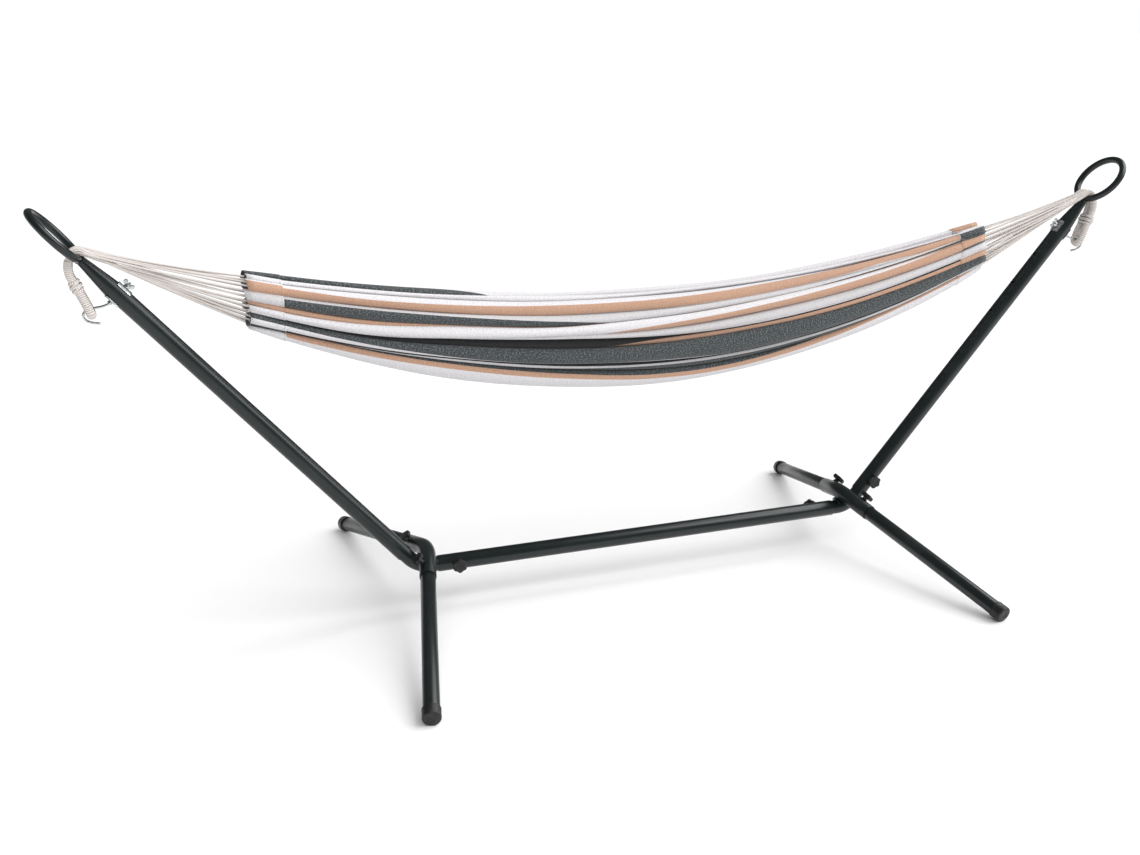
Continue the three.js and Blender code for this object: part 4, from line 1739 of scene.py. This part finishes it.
    def mesh(self) -> bmesh.types.BMesh:
        """The gathered sheet with its UV map, from a flat grid that is folded row by row."""
        rows = self.stations()
        sections = [self.section(x) for x in rows]
        columns = len(sections[0][0])
        bm = bmesh.new()
        depth = bm.verts.layers.float.new(TUCK)
        bmesh.ops.create_grid(bm, x_segments=columns - 1, y_segments=len(rows) - 1, size=0.5)
        lines: dict[float, list[bmesh.types.BMVert]] = {}
        for vert in bm.verts:
            lines.setdefault(round(vert.co.y, 6), []).append(vert)
        spots: dict[bmesh.types.BMVert, tuple[float, float]] = {}
        dice = random.Random(3)
        waves = [(dice.uniform(20, 60), dice.uniform(1.5, 4.5), dice.uniform(0, TAU)) for _ in range(6)]
        for y, (section, across, tucked), x in zip(sorted(lines), sections, rows):
            verts = sorted(lines[y], key=lambda v: v.co.x)
            near_end = max(0.0, (abs(x) / self.reach - 0.9) / 0.1)
            for index, (vert, point) in enumerate(zip(verts, section)):
                column = index / (columns - 1)
                before, after = section[max(index - 1, 0)], section[min(index + 1, columns - 1)]
                onwards = (after - before).normalized()
                out = Vector((onwards.y, -onwards.x))
                push = sum(math.sin(a * column * 5 + b * x * 3 + c) for a, b, c in waves) * self.wrinkle
                if abs(x) > self.reach - self.hem:
                    push += self.hem_step
                    push += self.pucker * math.sin(190 * column) * near_end
                place = point + out * push
                vert[depth] = tucked[index]
                spots[vert] = (across[index] / self.flat_width, x / (2 * self.reach) + 0.5)
                stray = math.copysign(self.ragged(column) * near_end**2, x)
                vert.co = (x + stray, place.x, place.y)
        uv = bm.loops.layers.uv.new("UVMap")
        for face in bm.faces:
            for loop in face.loops:
                loop[uv].uv = spots[loop.vert]
        bmesh.ops.recalc_face_normals(bm, faces=bm.faces)
        return bm

    def build(self, held_by: Sequence[bpy.types.Object]) -> bpy.types.Object:
        """Makes the cloth.

        Args:
            held_by: the pieces that it hangs from. It is not used.

        Returns:
            The cloth.
        """
        stops = tuple((place / self.flat_width, yarn) for place, yarn in STRIPES)
        finish = StripedCotton(stops, self.flat_width, self.flat_length)
        piece = self.shop.add("hammock_cloth", self.mesh(), finish, "hammock_bed")
        thick = piece.modifiers.new("cloth", "SOLIDIFY")
        thick.thickness, thick.offset = self.cloth, 0.0
        return piece


# ---------------------------------------------------------------- cords


@dataclass
class Rigging:
    """The cords at each end: the fan from the cloth to the ring, and the whipped loop down to the hook."""

    sizes: StandSizes
    shop: Workshop
    bed: Bed
    cords: int = 24
    cord_radius: float = 0.0023
    leg_offset: float = 0.0105
    eye_offset: float = 0.013
    leg_radius: float = 0.0092

    def _bundle_spots(self) -> list[tuple[float, float]]:
        """Where the cords of one leg sit in its section."""
        spots = []
        for count, radius, first in ((9, 0.0064, 0.3), (3, 0.0024, 0.0)):
            angles = [TAU * i / count + first for i in range(count)]
            spots += [(radius * math.cos(angle), radius * math.sin(angle)) for angle in angles]
        return spots

    def fan(self, end: End) -> bpy.types.Object:
        """Makes the spread cords from the cloth's end to the ring and over it."""
        seat = self.sizes.ring_seat_point
        over = self.sizes.ring_rod_radius + 0.0088
        angles = [math.radians(degrees) for degrees in (112, 88, 64, 40, 16, -6)]
        line = [Vector((seat.x + over * math.cos(a), seat.z + over * math.sin(a))) for a in angles]
        line.append(Vector((seat.x + 0.0215, seat.z - 0.012)))
        line.append(Vector((seat.x + 0.0225, seat.z - 0.022)))
        outward = [Vector((math.cos(a), math.sin(a))) for a in (*angles, angles[-1], angles[-1])]
        spots = self._bundle_spots()
        outline = self.bed.outline(self.bed.reach)
        dice = random.Random(11)
        parts = []
        for number in range(self.cords):
            share = (number + 0.5) / self.cords
            spot = outline.place(outline.total * share, -0.004 - 0.010 * dice.random())
            begin = Vector((self.bed.reach - 0.014, spot.x, spot.y))
            side = -1 if number < self.cords // 2 else 1
            sideways, lift = spots[number % len(spots)]
            climb = [
                Vector((p.x + o.x * lift, side * self.leg_offset + sideways, p.y + o.y * lift))
                for p, o in zip(line, outward)
            ]
            entry = climb[0]
            sag = 0.002 + 0.005 * dice.random()
            run = []
            for t in (0.0, 0.05, 0.2, 0.4, 0.6, 0.8, 0.93):
                p = begin.lerp(entry, t)
                p.z -= sag * 4 * t * (1 - t)
                run.append(p)
            parts.append(swept(spline([*run, *climb], 3), self.cord_radius, 8))
        bm = merged(parts)
        turned_verts(bm, end.turn)
        piece = self.shop.mesh_object(f"cord_fan_{end.label}_cords", bm, CORD)
        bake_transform(piece)
        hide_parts(f"cord_fan_{end.label}")
        return piece

    def loop(self, end: End) -> None:
        """Makes the whipped loop with its collar."""
        seat = self.sizes.ring_seat_point
        x, z = seat.x, seat.z
        run = [
            (x + 0.0215, z - 0.004), (x + 0.0240, z - 0.016), (x + 0.0225, z - 0.034),
            (x + 0.0165, z - 0.050), (x + 0.0095, z - 0.067), (x + 0.0005, z - 0.089),
            (x - 0.006, z - 0.106),
        ]
        low = (x - 0.009, z - 0.113)
        apart, pinched, eye = self.leg_offset, self.leg_offset - 0.001, self.eye_offset
        spread = [apart, apart, apart, pinched, apart, eye, eye]

        def leg(side: int) -> list[Vector]:
            """One leg's path from the ring down."""
            return [Vector((px, side * off, pz)) for (px, pz), off in zip(run, spread)]

        bottom = []
        for degrees in (-60, -30, 0, 30, 60):
            angle = math.radians(degrees)
            drop = eye * math.cos(angle)
            bottom.append(Vector((low[0] - 0.24 * drop, -eye * math.sin(angle), low[1] - 0.97 * drop)))
        path = spline([*leg(1), *bottom, *reversed(leg(-1))], 34)
        total = sum((b - a).length for a, b in zip(path, path[1:]))

        def radius(along: float, angle: float) -> float:
            """The whipping's ridges, which run round in a spiral and start below the collar."""
            turn = along / WHIPPED.lay + angle / TAU - 0.25
            from_ring = min(along, total - along)
            bound = min(max((from_ring - 0.052) / 0.010, 0.0), 1.0)
            ridge = 0.0020 * bound + 0.0006 * (1 - bound)
            return self.leg_radius + 0.0010 * bound - ridge * (1 - abs(math.sin(math.pi * turn)) ** 0.7)

        parts = [swept(path, radius, 20)]
        middle, slope = Vector((x + 0.0125, 0, z - 0.060)), Vector((-0.42, 0, -0.91))
        across = Vector((0.91, 0, -0.42))
        for turn in range(-2, 3):
            centre = middle + slope * (turn * 0.0052)
            reach = self.leg_radius + 0.0026 - 0.0005 * turn * turn
            tilt = 0.0030 * (turn % 2)
            ring = []
            for i in range(49):
                angle = TAU * i / 48
                side = math.copysign(min(abs(math.sin(angle)) * 3, 1.0), math.sin(angle)) * pinched
                rise = slope * (tilt * math.cos(angle))
                sideways = Vector((0, side + reach * math.sin(angle), 0))
                ring.append(centre + rise + across * (reach * math.cos(angle)) + sideways)
            parts.append(swept(ring, 0.0028, 10))
        bm = merged(parts)
        turned_verts(bm, end.turn)
        self.shop.add(f"cord_loop_{end.label}_whipped", bm, WHIPPED, f"cord_loop_{end.label}")

    def build(self) -> list[bpy.types.Object]:
        """Makes both ends' cords, and returns the fans."""
        fans = []
        for end in End:
            fans.append(self.fan(end))
            self.loop(end)
        return fans


# ---------------------------------------------------------------- studio


@dataclass
class Studio:
    """The pale floor, the soft light and the camera."""

    eye: tuple[float, float, float] = (-1.180, -2.860, 1.402)
    yaw: float = math.radians(18.73)
    pitch: float = math.radians(17.75)
    roll: float = math.radians(-0.47)
    lens: float = 38.97
    sensor: float = 36.0
    floor_size: float = 400.0
    backdrop: float = 1.0
    dome: float = 0.34
    gloss: float = 0.14

    def camera(self) -> None:
        """Places the camera."""
        level_share = math.cos(self.pitch)
        forward = Vector((
            math.sin(self.yaw) * level_share, math.cos(self.yaw) * level_share, -math.sin(self.pitch)
        ))
        level = Vector((math.cos(self.yaw), -math.sin(self.yaw), 0))
        lifted = level.cross(forward)
        right = math.cos(self.roll) * level + math.sin(self.roll) * lifted
        up = math.cos(self.roll) * lifted - math.sin(self.roll) * level
        data = bpy.data.cameras.new("view")
        data.lens, data.sensor_width = self.lens, self.sensor
        camera = in_scene("view", data)
        turn = Matrix((right, up, -forward)).transposed().to_4x4()
        camera.matrix_world = moved(*self.eye) @ turn
        bpy.context.scene.camera = camera

    def floor(self) -> None:
        """Lays the floor."""
        bm = bmesh.new()
        bmesh.ops.create_grid(bm, x_segments=1, y_segments=1, size=self.floor_size / 2)
        mesh = as_mesh(bm, "floor")
        s = Shader("pale_floor")
        s.set(Base_Color=(0.90, 0.90, 0.90), Roughness=0.9)
        mesh.materials.append(s.material)
        in_scene("floor", mesh)

    def sky(self, name: str, towards: Point, spread: float, strength: float) -> bpy.types.Object:
        """Adds a wide soft light from far away.

        Args:
            name: its name.
            towards: the direction that it comes from.
            spread: how wide it looks, in degrees.
            strength: its strength.

        Returns:
            The light.
        """
        data = bpy.data.lights.new(name, "SUN")
        data.angle, data.energy = math.radians(spread), strength
        lamp = in_scene(name, data)
        lamp.rotation_euler = Vector(towards).to_track_quat("Z", "Y").to_euler()
        return lamp

    def build(self) -> None:
        """Sets up the whole studio."""
        self.camera()
        self.floor()
        self.sky("key", (0.72, -0.12, 0.68), 60, 3.0)
        self.sky("fill", (0.0, -0.75, 0.66), 60, 1.45).visible_glossy = False
        world = bpy.data.worlds.new("studio")
        world.use_nodes = True
        tree = world.node_tree
        backdrop = tree.nodes["Background"]
        seen = add_node(tree, "LightPath", {}, "Is Camera Ray")
        mirrored = add_node(tree, "LightPath", {}, "Is Glossy Ray")
        strength = seen * (self.backdrop - self.dome) + mirrored * (self.gloss - self.dome) + self.dome
        plug(tree, backdrop.inputs["Strength"], strength)
        backdrop.inputs["Color"].default_value = (1, 1, 1, 1)
        bpy.context.scene.world = world
        bpy.context.scene.view_settings.view_transform = "Standard"


def main() -> None:
    """Builds the studio, the stand, the cords and the cloth."""
    logging.basicConfig(level=logging.INFO, format="%(name)s: %(message)s")
    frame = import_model()
    Studio().build()
    sizes = StandSizes()
    shop = Workshop(frame)
    Stand(sizes, shop).build()
    hooks = HookSet(sizes, shop)
    for end in End:
        hooks.build(end)
    bed = Bed(shop)
    bed.build(Rigging(sizes, shop, bed).build())


if __name__ == "__main__":
    main()
